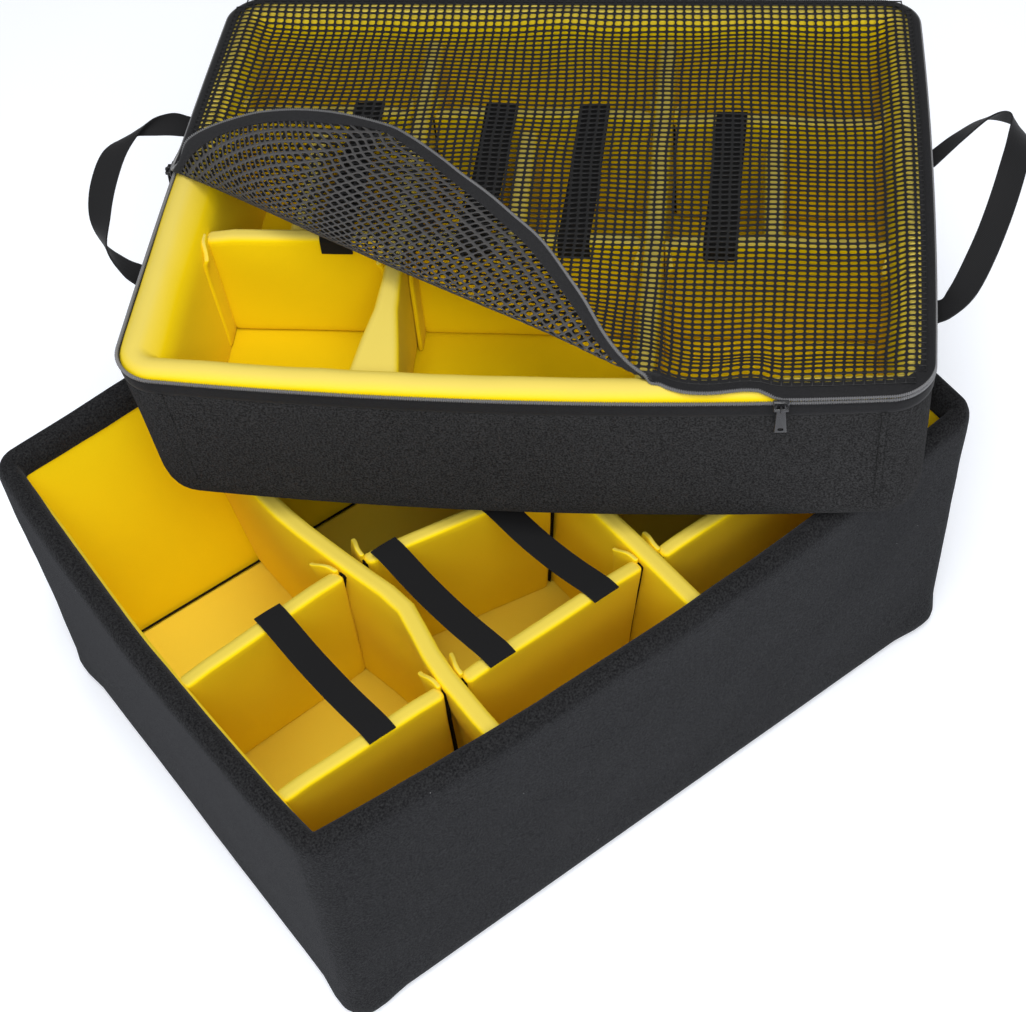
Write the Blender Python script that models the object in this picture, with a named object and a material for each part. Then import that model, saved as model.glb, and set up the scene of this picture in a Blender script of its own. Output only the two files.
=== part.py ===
"""A padded divider set for a deep equipment case: an open box, and a zipped tray that rests on its rim.

All lengths are in metres. The box stands centred on the origin, its long side along X and its open top up. The tray
has a frame of its own, an empty on the box's rim: U is its long side, V runs to its back and W up. Each wall is drawn
as a plain upright one, in stations round its plan and levels up its height, and is then bowed as the cloth bows it.
"""
import math

import bmesh
import bpy
from mathutils import Matrix, Vector

# Cloth, board and the clearances between pieces that touch
FABRIC = 0.0012
BOARD = 0.003
GAP = 0.0003
FIT_CLEARANCE = 0.0008
TAPE_THICKNESS = 0.0012
STRAP_THICKNESS = 0.0015
STRAP_WIDTH = 0.030
SHARP_RADIUS = 0.002

# The box
BOX_LENGTH = 0.700
BOX_WIDTH = 0.510
BOX_HEIGHT = 0.315
BOX_WALL_FOAM = 0.017
BOX_FLOOR_FOAM = 0.012
BOX_FLOOR_CLEARANCE = 0.002
BOX_CORNER_RADIUS = 0.018
BOX_RIM_RADIUS = 0.008
BOX_LIP = 0.004
BOX_FLARE = 0.007
BOX_LONG_BOW = 0.020
BOX_SHORT_BOW = 0.013

# The box's dividers
BOX_DIVIDER_DROP = 0.018
LONG_DIVIDER_THICKNESS = 0.017
SHORT_DIVIDER_THICKNESS = 0.015
SHORT_DIVIDER_DROP = 0.002
END_FLAP_LENGTH = 0.028
END_FLAP_THICKNESS = 0.003
LONG_DIVIDER_SHARES = (0.25, 0.558)
BOX_FRONT_ROW_SHARE = 0.085
BOX_REAR_ROW_SHARE = 0.395
MIDDLE_REAR_TURN = math.radians(-12)
BOX_SIDE_LEAN = 0.045
BOX_BACK_LEAN = 0.090
BOX_STRAP_SAG = 0.006
BOX_STRAP_SHARES = {"left": (0.50,), "middle": (0.15, 0.74)}
BOX_STRAP_LAP = 0.001

# The tray
TRAY_LENGTH = 0.655
TRAY_WIDTH = 0.500
TRAY_HEIGHT = 0.150
TRAY_OFFSET_X = 0.154
TRAY_OFFSET_Y = 0.086
TRAY_TURN = math.radians(-42.3)
TRAY_WALL_FOAM = 0.031
TRAY_FLOOR_FOAM = 0.010
TRAY_FLOOR_CLEARANCE = 0.001
TRAY_CORNER_RADIUS = 0.030
TRAY_CROWN_RISE = 0.008
TRAY_CROWN_DROP = 0.004
TRAY_CROWN_INSET = 0.003
TRAY_FRONT_BOW = 0.016
TRAY_RIGHT_BOW = 0.006
TRAY_LEFT_BOW = 0.003
TRAY_LEFT_LEAN = 0.016

# The tray's dividers
TRAY_DIVIDER_DROP = 0.014
CROSS_DIVIDER_SHARES = (0.282, 0.664)
TRAY_FRONT_ROW_SHARE = 0.372
TRAY_REAR_ROW_SHARE = 0.760
STUB_SHARES = {"left": 0.45, "middle": 0.44, "right": 0.50}
STUB_HEIGHT = 0.108
TRAY_STRAP_SAG = 0.004
TRAY_STRAP_TURN_DOWN = 0.018
TRAY_STRAP_SHARES = {"left": (0.72,), "middle": (0.30, 0.72), "right": (0.27,)}

# The zip, the net lid and its turned-back corner
ZIP_TAPE_HEIGHT = 0.012
COIL_RADIUS = 0.0018
COIL_INSET = 0.0006
LID_TAPE_WIDTH = 0.016
LID_CLEARANCE = 0.0015
NET_THICKNESS = 0.0015
NET_STRAND = 0.0025
NET_HEM = 0.0002
NET_COLUMNS = 13
NET_ROWS = 10
HINGE_SETBACK = 0.0024
CREASE_SIDE_SHARE = 0.488
CREASE_FRONT_SHARE = 0.660
CREASE_CLEARANCE = 0.0008
FLAP_TILT = math.radians(9)

# The sliders and their pulls
SLIDER_LENGTH = 0.012
SLIDER_CLEARANCE = 0.0008
SLIDER_HEIGHT = 0.009
SLIDER_PLATE = 0.0018
SLIDER_LUG = 0.0015
SLIDER_LUG_REACH = 0.0042
SLIDER_LUG_HEIGHT = 0.0044
PULL_PIN_RADIUS = 0.0008
PULL_PIN_CLEARANCE = 0.0004
PULL_WIDTH = 0.0080
PULL_LENGTH = 0.030
PULL_THICKNESS = 0.0016
PULL_EYE_RADIUS = 0.0023
FRONT_SLIDER_SHARE = 0.816
LEFT_SLIDER_SHARE = 0.512

# The handles and the tabs that hold them
HANDLE_WIDTH = 0.025
TAB_HEIGHT = 0.032
TAB_TOP = 0.130
HANDLE_AXIS_CLEARANCE = 0.00125
HANDLE_HEM = 0.0007
LEFT_HANDLE_REACH = 0.070
RIGHT_HANDLE_REACH = 0.084
HANDLE_TILT = {"left": math.radians(20), "right": math.radians(24)}
HANDLE_ANCHOR_SHARES = {"left": (0.28, 0.67), "right": (0.23, 0.61)}
HANDLE_PATH_SHARES = {
    "left": ((0.0, 0.25), (0.03, 0.52), (0.12, 0.74), (0.28, 0.82), (0.50, 0.83), (0.72, 0.80),
             (0.90, 0.66), (0.98, 0.46), (1.0, 0.22)),
    "right": ((0.0, 0.16), (0.06, 0.36), (0.20, 0.55), (0.40, 0.72), (0.62, 0.87), (0.82, 0.93),
              (0.99, 0.84), (1.06, 0.62), (1.04, 0.36), (1.0, 0.16)),
}

# Counts and shares that only set how finely the shapes are drawn
LONG_STEPS = 8
SHORT_STEPS = 6
CORNER_STEPS = 2
EDGE_STEPS = 3
STRAP_STEPS = 8
ROUND_STEPS = 12
COIL_STEPS = 6
LEVEL_SHARES = (0.34, 0.67)
BOW_POWER = 1.5
CUTTER_SCALE = 2.0
MERGE_DISTANCE = 0.00001

# Worked out from the sizes above
BOX_WALL = 2 * FABRIC + 2 * GAP + BOX_WALL_FOAM
BOX_BOARD_BASE = FABRIC + GAP
BOX_WALL_BASE = BOX_BOARD_BASE + BOARD + GAP
BOX_FLOOR = BOX_WALL_BASE + BOX_FLOOR_FOAM
BOX_SHOULDER = BOX_HEIGHT - BOX_RIM_RADIUS
BOX_INNER_LENGTH = BOX_LENGTH - 2 * BOX_WALL
BOX_INNER_WIDTH = BOX_WIDTH - 2 * BOX_WALL
BOX_DIVIDER_TOP = BOX_HEIGHT - BOX_DIVIDER_DROP
SHORT_DIVIDER_TOP = BOX_DIVIDER_TOP - SHORT_DIVIDER_DROP
TRAY_WALL = 2 * FABRIC + 2 * GAP + TRAY_WALL_FOAM
TRAY_BOARD_BASE = FABRIC + GAP
TRAY_WALL_BASE = TRAY_BOARD_BASE + BOARD + GAP
TRAY_FLOOR = TRAY_WALL_BASE + TRAY_FLOOR_FOAM
TRAY_INNER_LENGTH = TRAY_LENGTH - 2 * TRAY_WALL
TRAY_INNER_WIDTH = TRAY_WIDTH - 2 * TRAY_WALL
TRAY_DIVIDER_TOP = TRAY_HEIGHT - TRAY_DIVIDER_DROP
TRAY_CROWN_BASE = TRAY_HEIGHT - TRAY_CROWN_DROP
TRAY_CROWN_TOP = TRAY_HEIGHT + TRAY_CROWN_RISE
TAPE_BASE = TRAY_HEIGHT - ZIP_TAPE_HEIGHT
LID_COIL_HEIGHT = TRAY_HEIGHT + 2 * COIL_RADIUS + GAP
LID_TAPE_HEIGHT = TRAY_CROWN_TOP + LID_CLEARANCE
NET_TOP = LID_TAPE_HEIGHT + NET_THICKNESS
CREASE_W = NET_TOP + GAP / 2
HANDLE_REACH = {"left": LEFT_HANDLE_REACH, "right": RIGHT_HANDLE_REACH}

BLACK_CLOTH = ((0.016, 0.016, 0.018), 0.85, 0.0)
YELLOW_CLOTH = ((0.90, 0.68, 0.02), 0.80, 0.0)
FOAM = ((0.75, 0.72, 0.62), 0.95, 0.0)
STIFF_BOARD = ((0.20, 0.20, 0.21), 0.60, 0.0)
WEBBING = ((0.012, 0.012, 0.013), 0.70, 0.0)
TAPE = ((0.020, 0.020, 0.022), 0.75, 0.0)
NET = ((0.035, 0.035, 0.038), 0.55, 0.0)
DARK_METAL = ((0.06, 0.06, 0.065), 0.35, 0.9)


def clear_scene():
    """Takes away whatever the scene holds."""
    for item in list(bpy.data.objects):
        bpy.data.objects.remove(item, do_unlink=True)


def material(name, finish):
    """A plain material of a colour, a roughness and a metallic value."""
    colour, roughness, metallic = finish
    made = bpy.data.materials.new(name)
    made.use_nodes = True
    shader = made.node_tree.nodes["Principled BSDF"]
    shader.inputs["Base Color"].default_value = (*colour, 1.0)
    shader.inputs["Roughness"].default_value = roughness
    shader.inputs["Metallic"].default_value = metallic
    return made


def add_piece(name, bm, finish, parent=None):
    """Makes a named object from a bmesh, faces outwards, with a material of its own."""
    bmesh.ops.recalc_face_normals(bm, faces=bm.faces)
    mesh = bpy.data.meshes.new(name)
    bm.to_mesh(mesh)
    bm.free()
    piece = bpy.data.objects.new(name, mesh)
    piece.data.materials.append(material(name + "_finish", finish))
    bpy.context.collection.objects.link(piece)
    piece.parent = parent
    return piece


def move_points(bm, place):
    """Passes every point of a bmesh through a function."""
    for vert in bm.verts:
        vert.co = place(vert.co.copy())
    return bm


def boolean(first, second, operation):
    """A bmesh of two closed bmeshes joined, cut or crossed, with the slivers that this leaves merged away."""
    pair = []
    for bm in (first, second):
        bmesh.ops.recalc_face_normals(bm, faces=bm.faces)
        mesh = bpy.data.meshes.new("part_of_boolean")
        bm.to_mesh(mesh)
        bm.free()
        pair.append(bpy.data.objects.new("part_of_boolean", mesh))
        bpy.context.collection.objects.link(pair[-1])
    modifier = pair[0].modifiers.new("boolean", "BOOLEAN")
    modifier.operation = operation
    modifier.object = pair[1]
    graph = bpy.context.evaluated_depsgraph_get()
    result = bmesh.new()
    result.from_mesh(pair[0].evaluated_get(graph).to_mesh())
    for item in pair:
        bpy.data.objects.remove(item, do_unlink=True)
    bmesh.ops.remove_doubles(result, verts=result.verts, dist=MERGE_DISTANCE)
    bmesh.ops.dissolve_degenerate(result, edges=result.edges, dist=MERGE_DISTANCE)
    return result


def plan_loop(length, width, radius, inset):
    """Stations round a rounded rectangle, drawn in by an inset. A station keeps its number at any inset."""
    half_x = length / 2 - inset
    half_y = width / 2 - inset
    corner = max(radius - inset, SHARP_RADIUS)
    arcs = []
    for side_x, side_y, start in ((1, 1, 0), (-1, 1, 90), (-1, -1, 180), (1, -1, 270)):
        centre = Vector((side_x * (half_x - corner), side_y * (half_y - corner)))
        turns = [math.radians(start + 90 * step / CORNER_STEPS) for step in range(CORNER_STEPS + 1)]
        arcs.append([centre + corner * Vector((math.cos(turn), math.sin(turn))) for turn in turns])
    points = []
    for index, arc in enumerate(arcs):
        steps = SHORT_STEPS if index % 2 else LONG_STEPS
        following = arcs[(index + 1) % len(arcs)][0]
        points += arc
        points += [arc[-1].lerp(following, step / steps) for step in range(1, steps)]
    return points


def corner_middles():
    """The numbers of the four stations that lie in the middle of a corner, from the back right one."""
    per_corner = CORNER_STEPS + 1
    starts = [0, per_corner + LONG_STEPS - 1, 2 * per_corner + LONG_STEPS + SHORT_STEPS - 2,
              3 * per_corner + 2 * LONG_STEPS + SHORT_STEPS - 3]
    return [start + CORNER_STEPS // 2 for start in starts]


def wall_rings(length, width, radius, section):
    """The ring of points at each station of a plan, from a section of (inset, height) pairs."""
    plans = {inset: plan_loop(length, width, radius, inset) for inset, _ in section}
    count = len(plans[section[0][0]])
    return [[Vector((*plans[inset][station], height)) for inset, height in section] for station in range(count)]


def panel_rings(rings, side):
    """The rings of one side's panel, from corner to corner, with a clearance at each mitre."""
    middles = corner_middles()
    first, last = middles[side], middles[(side + 1) % 4]
    if last < first:
        last += len(rings)
    chosen = [[point.copy() for point in rings[index % len(rings)]] for index in range(first, last + 1)]
    for end, inner in ((0, 1), (-1, -2)):
        chosen[end] = [p + (q - p).normalized() * GAP for p, q in zip(chosen[end], chosen[inner])]
    return chosen


def loft(rings, closed):
    """A closed solid through rings of points, in a circuit or with flat ends.

    A face's diagonal always joins its lower point at the first ring to its upper point at the next, so two layers
    that share their stations and levels stay the same distance apart.
    """
    bm = bmesh.new()
    rows = [[bm.verts.new(point) for point in ring] for ring in rings]
    for row, following in zip(rows, rows[1:] + rows[:1] if closed else rows[1:]):
        for index in range(len(row)):
            other = (index + 1) % len(row)
            a, b, c, d = row[index], row[other], following[other], following[index]
            if a.co.z <= b.co.z:
                bm.faces.new((a, b, c))
                bm.faces.new((a, c, d))
            else:
                bm.faces.new((a, b, d))
                bm.faces.new((b, c, d))
    if not closed:
        cap(bm, rows[0])
        cap(bm, rows[-1])
    return bm


def cap(bm, row):
    """Closes an end in strips between the points that face each other, since a bowed end isn't flat."""
    count = len(row)
    for index in range((count - 1) // 2):
        strip = [row[index], row[index + 1], row[count - 2 - index], row[count - 1 - index]]
        bm.faces.new(strip if index + 1 != count - 2 - index else (strip[0], strip[1], strip[3]))


def quarter(centre, reach, rise, start):
    """Points of a quarter ellipse in a section, from an angle in degrees, clockwise as seen with insets rightwards."""
    turns = [math.radians(start - 90 * step / EDGE_STEPS) for step in range(EDGE_STEPS + 1)]
    return [(centre[0] + reach * math.cos(turn), centre[1] + rise * math.sin(turn)) for turn in turns]


def plate(points, low, high):
    """A flat solid between two heights from the points of its plan."""
    bm = bmesh.new()
    lower = [bm.verts.new((*point, low)) for point in points]
    upper = [bm.verts.new((*point, high)) for point in points]
    bm.faces.new(lower)
    bm.faces.new(upper)
    for index in range(len(points)):
        other = (index + 1) % len(points)
        bm.faces.new((lower[index], lower[other], upper[other], upper[index]))
    return bm


def block(low, high):
    """A box between two corners."""
    plan = ((low[0], low[1]), (high[0], low[1]), (high[0], high[1]), (low[0], high[1]))
    return plate(plan, low[2], high[2])


def ribbon(path, widths, thickness, width):
    """A strap along a path, with its width along the directions given for each point."""
    rings = []
    for index, point in enumerate(path):
        ahead = path[min(index + 1, len(path) - 1)] - path[max(index - 1, 0)]
        across = widths[index].normalized()
        normal = ahead.cross(across).normalized()
        half = across * width / 2
        lift = normal * thickness / 2
        rings.append([point - half - lift, point + half - lift, point + half + lift, point - half + lift])
    return loft(rings, closed=False)


def padded_panel(length, thickness, low, high, levels):
    """A padded divider along X: a round top, and its sides in the given levels."""
    half = thickness / 2
    shoulder = high - half
    sides = [low] + [level for level in levels if low < level < shoulder] + [shoulder]
    arc = [(-half * math.cos(math.pi * step / (2 * EDGE_STEPS)), shoulder + half * math.sin(
        math.pi * step / (2 * EDGE_STEPS))) for step in range(1, 2 * EDGE_STEPS)]
    section = [(-half, level) for level in sides] + arc + [(half, level) for level in reversed(sides)]
    return loft([[Vector((end * length / 2, y, z)) for y, z in section] for end in (-1, 1)], closed=False)


def short_divider(length, thickness, low, high, flap_side, lean=0.0, height=0.0):
    """A short padded divider along X with a flat flap at each end, turned to one side to hold it by.

    Its low-X end leans out with the wall that it meets, where a lean and the wall's height are given.
    """
    body = padded_panel(length, thickness, low, high, ())
    near = flap_side * (thickness / 2 - END_FLAP_THICKNESS)
    far = flap_side * (thickness / 2 + END_FLAP_LENGTH)
    top = high - thickness / 2
    for end in (-1, 1):
        inner = end * (length / 2 - END_FLAP_THICKNESS)
        outer = end * length / 2
        flap = block((min(inner, outer), min(near, far), low), (max(inner, outer), max(near, far), top))
        body = boolean(body, flap, "UNION")
    if lean:
        for vert in body.verts:
            if vert.co.x < 0:
                vert.co.x -= lean * vert.co.z / height
    return body


def box_shape(point):
    """The box's walls lean out towards the rim and bow out between its corners."""
    rise = point.z / BOX_HEIGHT
    along = point.x / (BOX_LENGTH / 2)
    across = point.y / (BOX_WIDTH / 2)
    bow = rise ** BOW_POWER
    out_x = BOX_FLARE * rise + BOX_SHORT_BOW * bow * max(0, 1 - across ** 2)
    out_y = BOX_FLARE * rise + BOX_LONG_BOW * bow * max(0, 1 - along ** 2)
    return Vector((point.x + along * out_x, point.y + across * out_y, point.z))


def box_shape_across(point):
    """The box's shape across its width alone, for a divider that runs from the front wall to the back."""
    return Vector((point.x, box_shape(point).y, point.z))


def tray_shape(point):
    """The tray's front bows out, its right end a little, and its left end leans out at the open corner."""
    along = point.x / (TRAY_LENGTH / 2)
    across = point.y / (TRAY_WIDTH / 2)
    front = TRAY_FRONT_BOW * max(0, 1 - along ** 2) if across < 0 else 0
    side = max(0, 1 - across ** 2)
    if along > 0:
        out_x = TRAY_RIGHT_BOW * side
    else:
        out_x = TRAY_LEFT_BOW * side + TRAY_LEFT_LEAN * point.z / TRAY_HEIGHT * (1 - across) / 2
    return Vector((point.x + along * out_x, point.y + across * front, point.z))


def tray_shape_across(point):
    """The tray's shape across its width alone."""
    return Vector((point.x, tray_shape(point).y, point.z))


def levels_between(low, high):
    """Heights up a wall between its base and its shoulder."""
    return [low + share * (high - low) for share in LEVEL_SHARES]


BOX_LEVELS = levels_between(BOX_WALL_BASE, BOX_SHOULDER)
TRAY_LEVELS = levels_between(TRAY_WALL_BASE, TAPE_BASE)


def bay_limits(length, shares, thickness):
    """The low and high ends of each bay between the end walls and the dividers at the given shares."""
    places = [-length / 2 + share * length for share in shares]
    edges = [-length / 2]
    for place in places:
        edges += [place - thickness / 2, place + thickness / 2]
    edges.append(length / 2)
    return [(edges[index], edges[index + 1]) for index in range(0, len(edges), 2)]


def row_place(width, share):
    """The place across a space of the given width, from its front."""
    return -width / 2 + share * width


def box_base():
    """The box's bottom cloth, its board and its floor pad."""
    outer = plan_loop(BOX_LENGTH, BOX_WIDTH, BOX_CORNER_RADIUS, 0)
    add_piece("box_base_cover", plate(outer, 0, FABRIC), BLACK_CLOTH)
    inner = plan_loop(BOX_LENGTH, BOX_WIDTH, BOX_CORNER_RADIUS, FABRIC + GAP)
    add_piece("box_base_board", plate(inner, BOX_BOARD_BASE, BOX_BOARD_BASE + BOARD), STIFF_BOARD)
    pad = plan_loop(BOX_LENGTH, BOX_WIDTH, BOX_CORNER_RADIUS, BOX_WALL + BOX_FLOOR_CLEARANCE)
    add_piece("box_floor_pad", plate(pad, BOX_WALL_BASE, BOX_FLOOR), YELLOW_CLOTH)


def box_walls():
    """The box's side cover with its rolled rim, the foam in its four walls and the cloth that lines them."""
    size = (BOX_LENGTH, BOX_WIDTH, BOX_CORNER_RADIUS)
    base, shoulder, r = BOX_BOARD_BASE, BOX_SHOULDER, BOX_RIM_RADIUS
    lip = shoulder - BOX_LIP
    cover = [(0, base)] + [(0, level) for level in BOX_LEVELS]
    cover += quarter((r, shoulder), r, r, 180) + quarter((BOX_WALL - r, shoulder), r, r, 90)
    cover += [(BOX_WALL, lip), (BOX_WALL - FABRIC, lip)]
    inside = r - FABRIC
    cover += quarter((BOX_WALL - r, shoulder), inside, inside, 90)[::-1]
    cover += quarter((r, shoulder), inside, inside, 180)[::-1]
    cover += [(FABRIC, level) for level in reversed(BOX_LEVELS)] + [(FABRIC, base)]
    rim = move_points(loft(wall_rings(*size, cover), closed=True), box_shape)
    add_piece("box_side_cover", rim, BLACK_CLOTH)

    outer, inner, core = FABRIC + GAP, BOX_WALL - FABRIC - GAP, r - FABRIC - GAP
    foam = [(outer, BOX_WALL_BASE)] + [(outer, level) for level in BOX_LEVELS]
    foam += quarter((r, shoulder), core, core, 180) + quarter((BOX_WALL - r, shoulder), core, core, 90)
    foam += [(inner, level) for level in reversed(BOX_LEVELS)] + [(inner, BOX_WALL_BASE)]
    rings = wall_rings(*size, foam)
    for side, name in enumerate(("back", "left", "front", "right")):
        panel = move_points(loft(panel_rings(rings, side), closed=False), box_shape)
        add_piece("box_" + name + "_foam", panel, FOAM)

    top = lip - GAP
    liner = [(BOX_WALL - FABRIC, BOX_WALL_BASE)] + [(BOX_WALL - FABRIC, level) for level in BOX_LEVELS]
    liner += [(BOX_WALL - FABRIC, top), (BOX_WALL, top)]
    liner += [(BOX_WALL, level) for level in reversed(BOX_LEVELS)] + [(BOX_WALL, BOX_WALL_BASE)]
    lining = move_points(loft(wall_rings(*size, liner), closed=True), box_shape)
    add_piece("box_liner", lining, YELLOW_CLOTH)


def askew(point, back):
    """The box's dividers stand askew: their feet lie to the right of their tops, and the short ones' behind too."""
    drop = max(0, (SHORT_DIVIDER_TOP - point.z) / (SHORT_DIVIDER_TOP - BOX_FLOOR))
    left, _, right = bay_limits(BOX_INNER_LENGTH, LONG_DIVIDER_SHARES, LONG_DIVIDER_THICKNESS)
    share = min(1, (point.x - left[0]) / (left[1] - left[0]), (right[1] - point.x) / (right[1] - right[0]))
    return Vector((point.x + BOX_SIDE_LEAN * drop * max(0, share), point.y + back * drop, point.z))


def box_dividers():
    """Two long dividers from front to back, and in each bay two short ones with the straps across their tops."""
    floor = BOX_FLOOR + GAP
    for number, share in enumerate(LONG_DIVIDER_SHARES, 1):
        length = BOX_INNER_WIDTH - 2 * FIT_CLEARANCE
        panel = padded_panel(length, LONG_DIVIDER_THICKNESS, floor, BOX_DIVIDER_TOP, BOX_LEVELS)
        place = Matrix.Translation((row_place(BOX_INNER_LENGTH, share), 0, 0)) @ Matrix.Rotation(math.pi / 2, 4, "Z")
        move_points(panel, lambda point, place=place: askew(box_shape_across(place @ point), 0))
        add_piece("box_long_divider_" + str(number), panel, YELLOW_CLOTH)

    bays = bay_limits(BOX_INNER_LENGTH, LONG_DIVIDER_SHARES, LONG_DIVIDER_THICKNESS)
    rows = {"front": row_place(BOX_INNER_WIDTH, BOX_FRONT_ROW_SHARE),
            "rear": row_place(BOX_INNER_WIDTH, BOX_REAR_ROW_SHARE)}
    for bay, (low, high) in zip(("left", "middle", "right"), bays):
        for row, y in rows.items():
            turn = MIDDLE_REAR_TURN if (bay, row) == ("middle", "rear") else 0
            room = high - low - 2 * FIT_CLEARANCE
            spare = END_FLAP_LENGTH + SHORT_DIVIDER_THICKNESS / 2
            length = (room - 2 * spare * abs(math.sin(turn))) / math.cos(turn) if turn else room
            lean = BOX_FLARE if bay == "left" else 0
            pad = short_divider(length, SHORT_DIVIDER_THICKNESS, floor, SHORT_DIVIDER_TOP, 1, lean, BOX_HEIGHT)
            place = Matrix.Translation(((low + high) / 2, y, 0)) @ Matrix.Rotation(turn, 4, "Z")
            move_points(pad, lambda point, place=place: askew(place @ point, BOX_BACK_LEAN))
            add_piece("box_" + bay + "_" + row + "_divider", pad, YELLOW_CLOTH)
        for number, share in enumerate(BOX_STRAP_SHARES.get(bay, ()), 1):
            x = low + share * (high - low)
            slant = math.tan(MIDDLE_REAR_TURN) * (x - (low + high) / 2) if bay == "middle" else 0
            front = rows["front"] - SHORT_DIVIDER_THICKNESS / 2 - BOX_STRAP_LAP
            rear = rows["rear"] + slant + SHORT_DIVIDER_THICKNESS / 2
            name = "box_" + bay + "_strap" + ("_" + str(number) if bay == "middle" else "")
            top = SHORT_DIVIDER_TOP + GAP + STRAP_THICKNESS / 2
            strap = ribbon(*sagging_path(x, front, rear, top, BOX_STRAP_SAG, SHORT_DIVIDER_THICKNESS, 0),
                           STRAP_THICKNESS, STRAP_WIDTH)
            add_piece(name, strap, WEBBING)


def sagging_path(x, front, rear, top, sag, pad, turn_down):
    """A strap's path over two dividers, flat on each and slack between them, with a turned-down front end."""
    points = []
    start, end = front + pad, rear - pad
    if turn_down:
        points.append(Vector((x, front, top - turn_down)))
        points.append(Vector((x, front, top - STRAP_THICKNESS)))
    points.append(Vector((x, front + (STRAP_THICKNESS if turn_down else 0), top)))
    for step in range(STRAP_STEPS + 1):
        share = step / STRAP_STEPS
        points.append(Vector((x, start + share * (end - start), top - 4 * sag * share * (1 - share))))
    points.append(Vector((x, rear, top)))
    return points, [Vector((1, 0, 0))] * len(points)


def tray_base(tray):
    """The tray's bottom cloth, its board and its floor pad."""
    outer = plan_loop(TRAY_LENGTH, TRAY_WIDTH, TRAY_CORNER_RADIUS, 0)
    cover = move_points(plate(outer, 0, FABRIC), tray_shape)
    add_piece("tray_base_cover", cover, BLACK_CLOTH, tray)
    inner = plan_loop(TRAY_LENGTH, TRAY_WIDTH, TRAY_CORNER_RADIUS, FABRIC + GAP)
    board = move_points(plate(inner, TRAY_BOARD_BASE, TRAY_BOARD_BASE + BOARD), tray_shape)
    add_piece("tray_base_board", board, STIFF_BOARD, tray)
    pad = plan_loop(TRAY_LENGTH, TRAY_WIDTH, TRAY_CORNER_RADIUS, TRAY_WALL + TRAY_FLOOR_CLEARANCE)
    floor = move_points(plate(pad, TRAY_WALL_BASE, TRAY_FLOOR), tray_shape)
    add_piece("tray_floor_pad", floor, YELLOW_CLOTH, tray)


def tray_walls(tray):
    """The tray's side cover, the foam in its walls and the cloth that lines them and rolls over their crown."""
    size = (TRAY_LENGTH, TRAY_WIDTH, TRAY_CORNER_RADIUS)
    top = TAPE_BASE - GAP
    cover = [(0, TRAY_BOARD_BASE)] + [(0, level) for level in TRAY_LEVELS] + [(0, top), (FABRIC, top)]
    cover += [(FABRIC, level) for level in reversed(TRAY_LEVELS)] + [(FABRIC, TRAY_BOARD_BASE)]
    add_piece("tray_side_cover", move_points(loft(wall_rings(*size, cover), closed=True), tray_shape), BLACK_CLOTH, tray)

    middle = (TRAY_CROWN_INSET + TRAY_WALL) / 2
    base = TRAY_CROWN_BASE
    reach, rise = middle - TRAY_CROWN_INSET, TRAY_CROWN_TOP - base
    core, core_rise = reach - FABRIC - GAP, rise - FABRIC - GAP
    edge = TRAY_CROWN_INSET + FABRIC + GAP
    foam = [(edge, TRAY_WALL_BASE)] + [(edge, level) for level in TRAY_LEVELS]
    foam += quarter((middle, base), core, core_rise, 180) + quarter((middle, base), core, core_rise, 90)[1:]
    foam += [(middle + core, level) for level in reversed(TRAY_LEVELS)] + [(middle + core, TRAY_WALL_BASE)]
    rings = wall_rings(*size, foam)
    for side, name in enumerate(("back", "left", "front", "right")):
        panel = move_points(loft(panel_rings(rings, side), closed=False), tray_shape)
        add_piece("tray_" + name + "_foam", panel, FOAM, tray)

    thin, thin_rise = reach - FABRIC, rise - FABRIC
    liner = quarter((middle, base), reach, rise, 180) + quarter((middle, base), reach, rise, 90)[1:]
    liner += [(TRAY_WALL, level) for level in reversed(TRAY_LEVELS)]
    liner += [(TRAY_WALL, TRAY_WALL_BASE), (TRAY_WALL - FABRIC, TRAY_WALL_BASE)]
    liner += [(TRAY_WALL - FABRIC, level) for level in TRAY_LEVELS]
    liner += quarter((middle, base), thin, thin_rise, 90)[:0:-1] + quarter((middle, base), thin, thin_rise, 180)[::-1]
    add_piece("tray_liner", move_points(loft(wall_rings(*size, liner), closed=True), tray_shape), YELLOW_CLOTH, tray)


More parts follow.
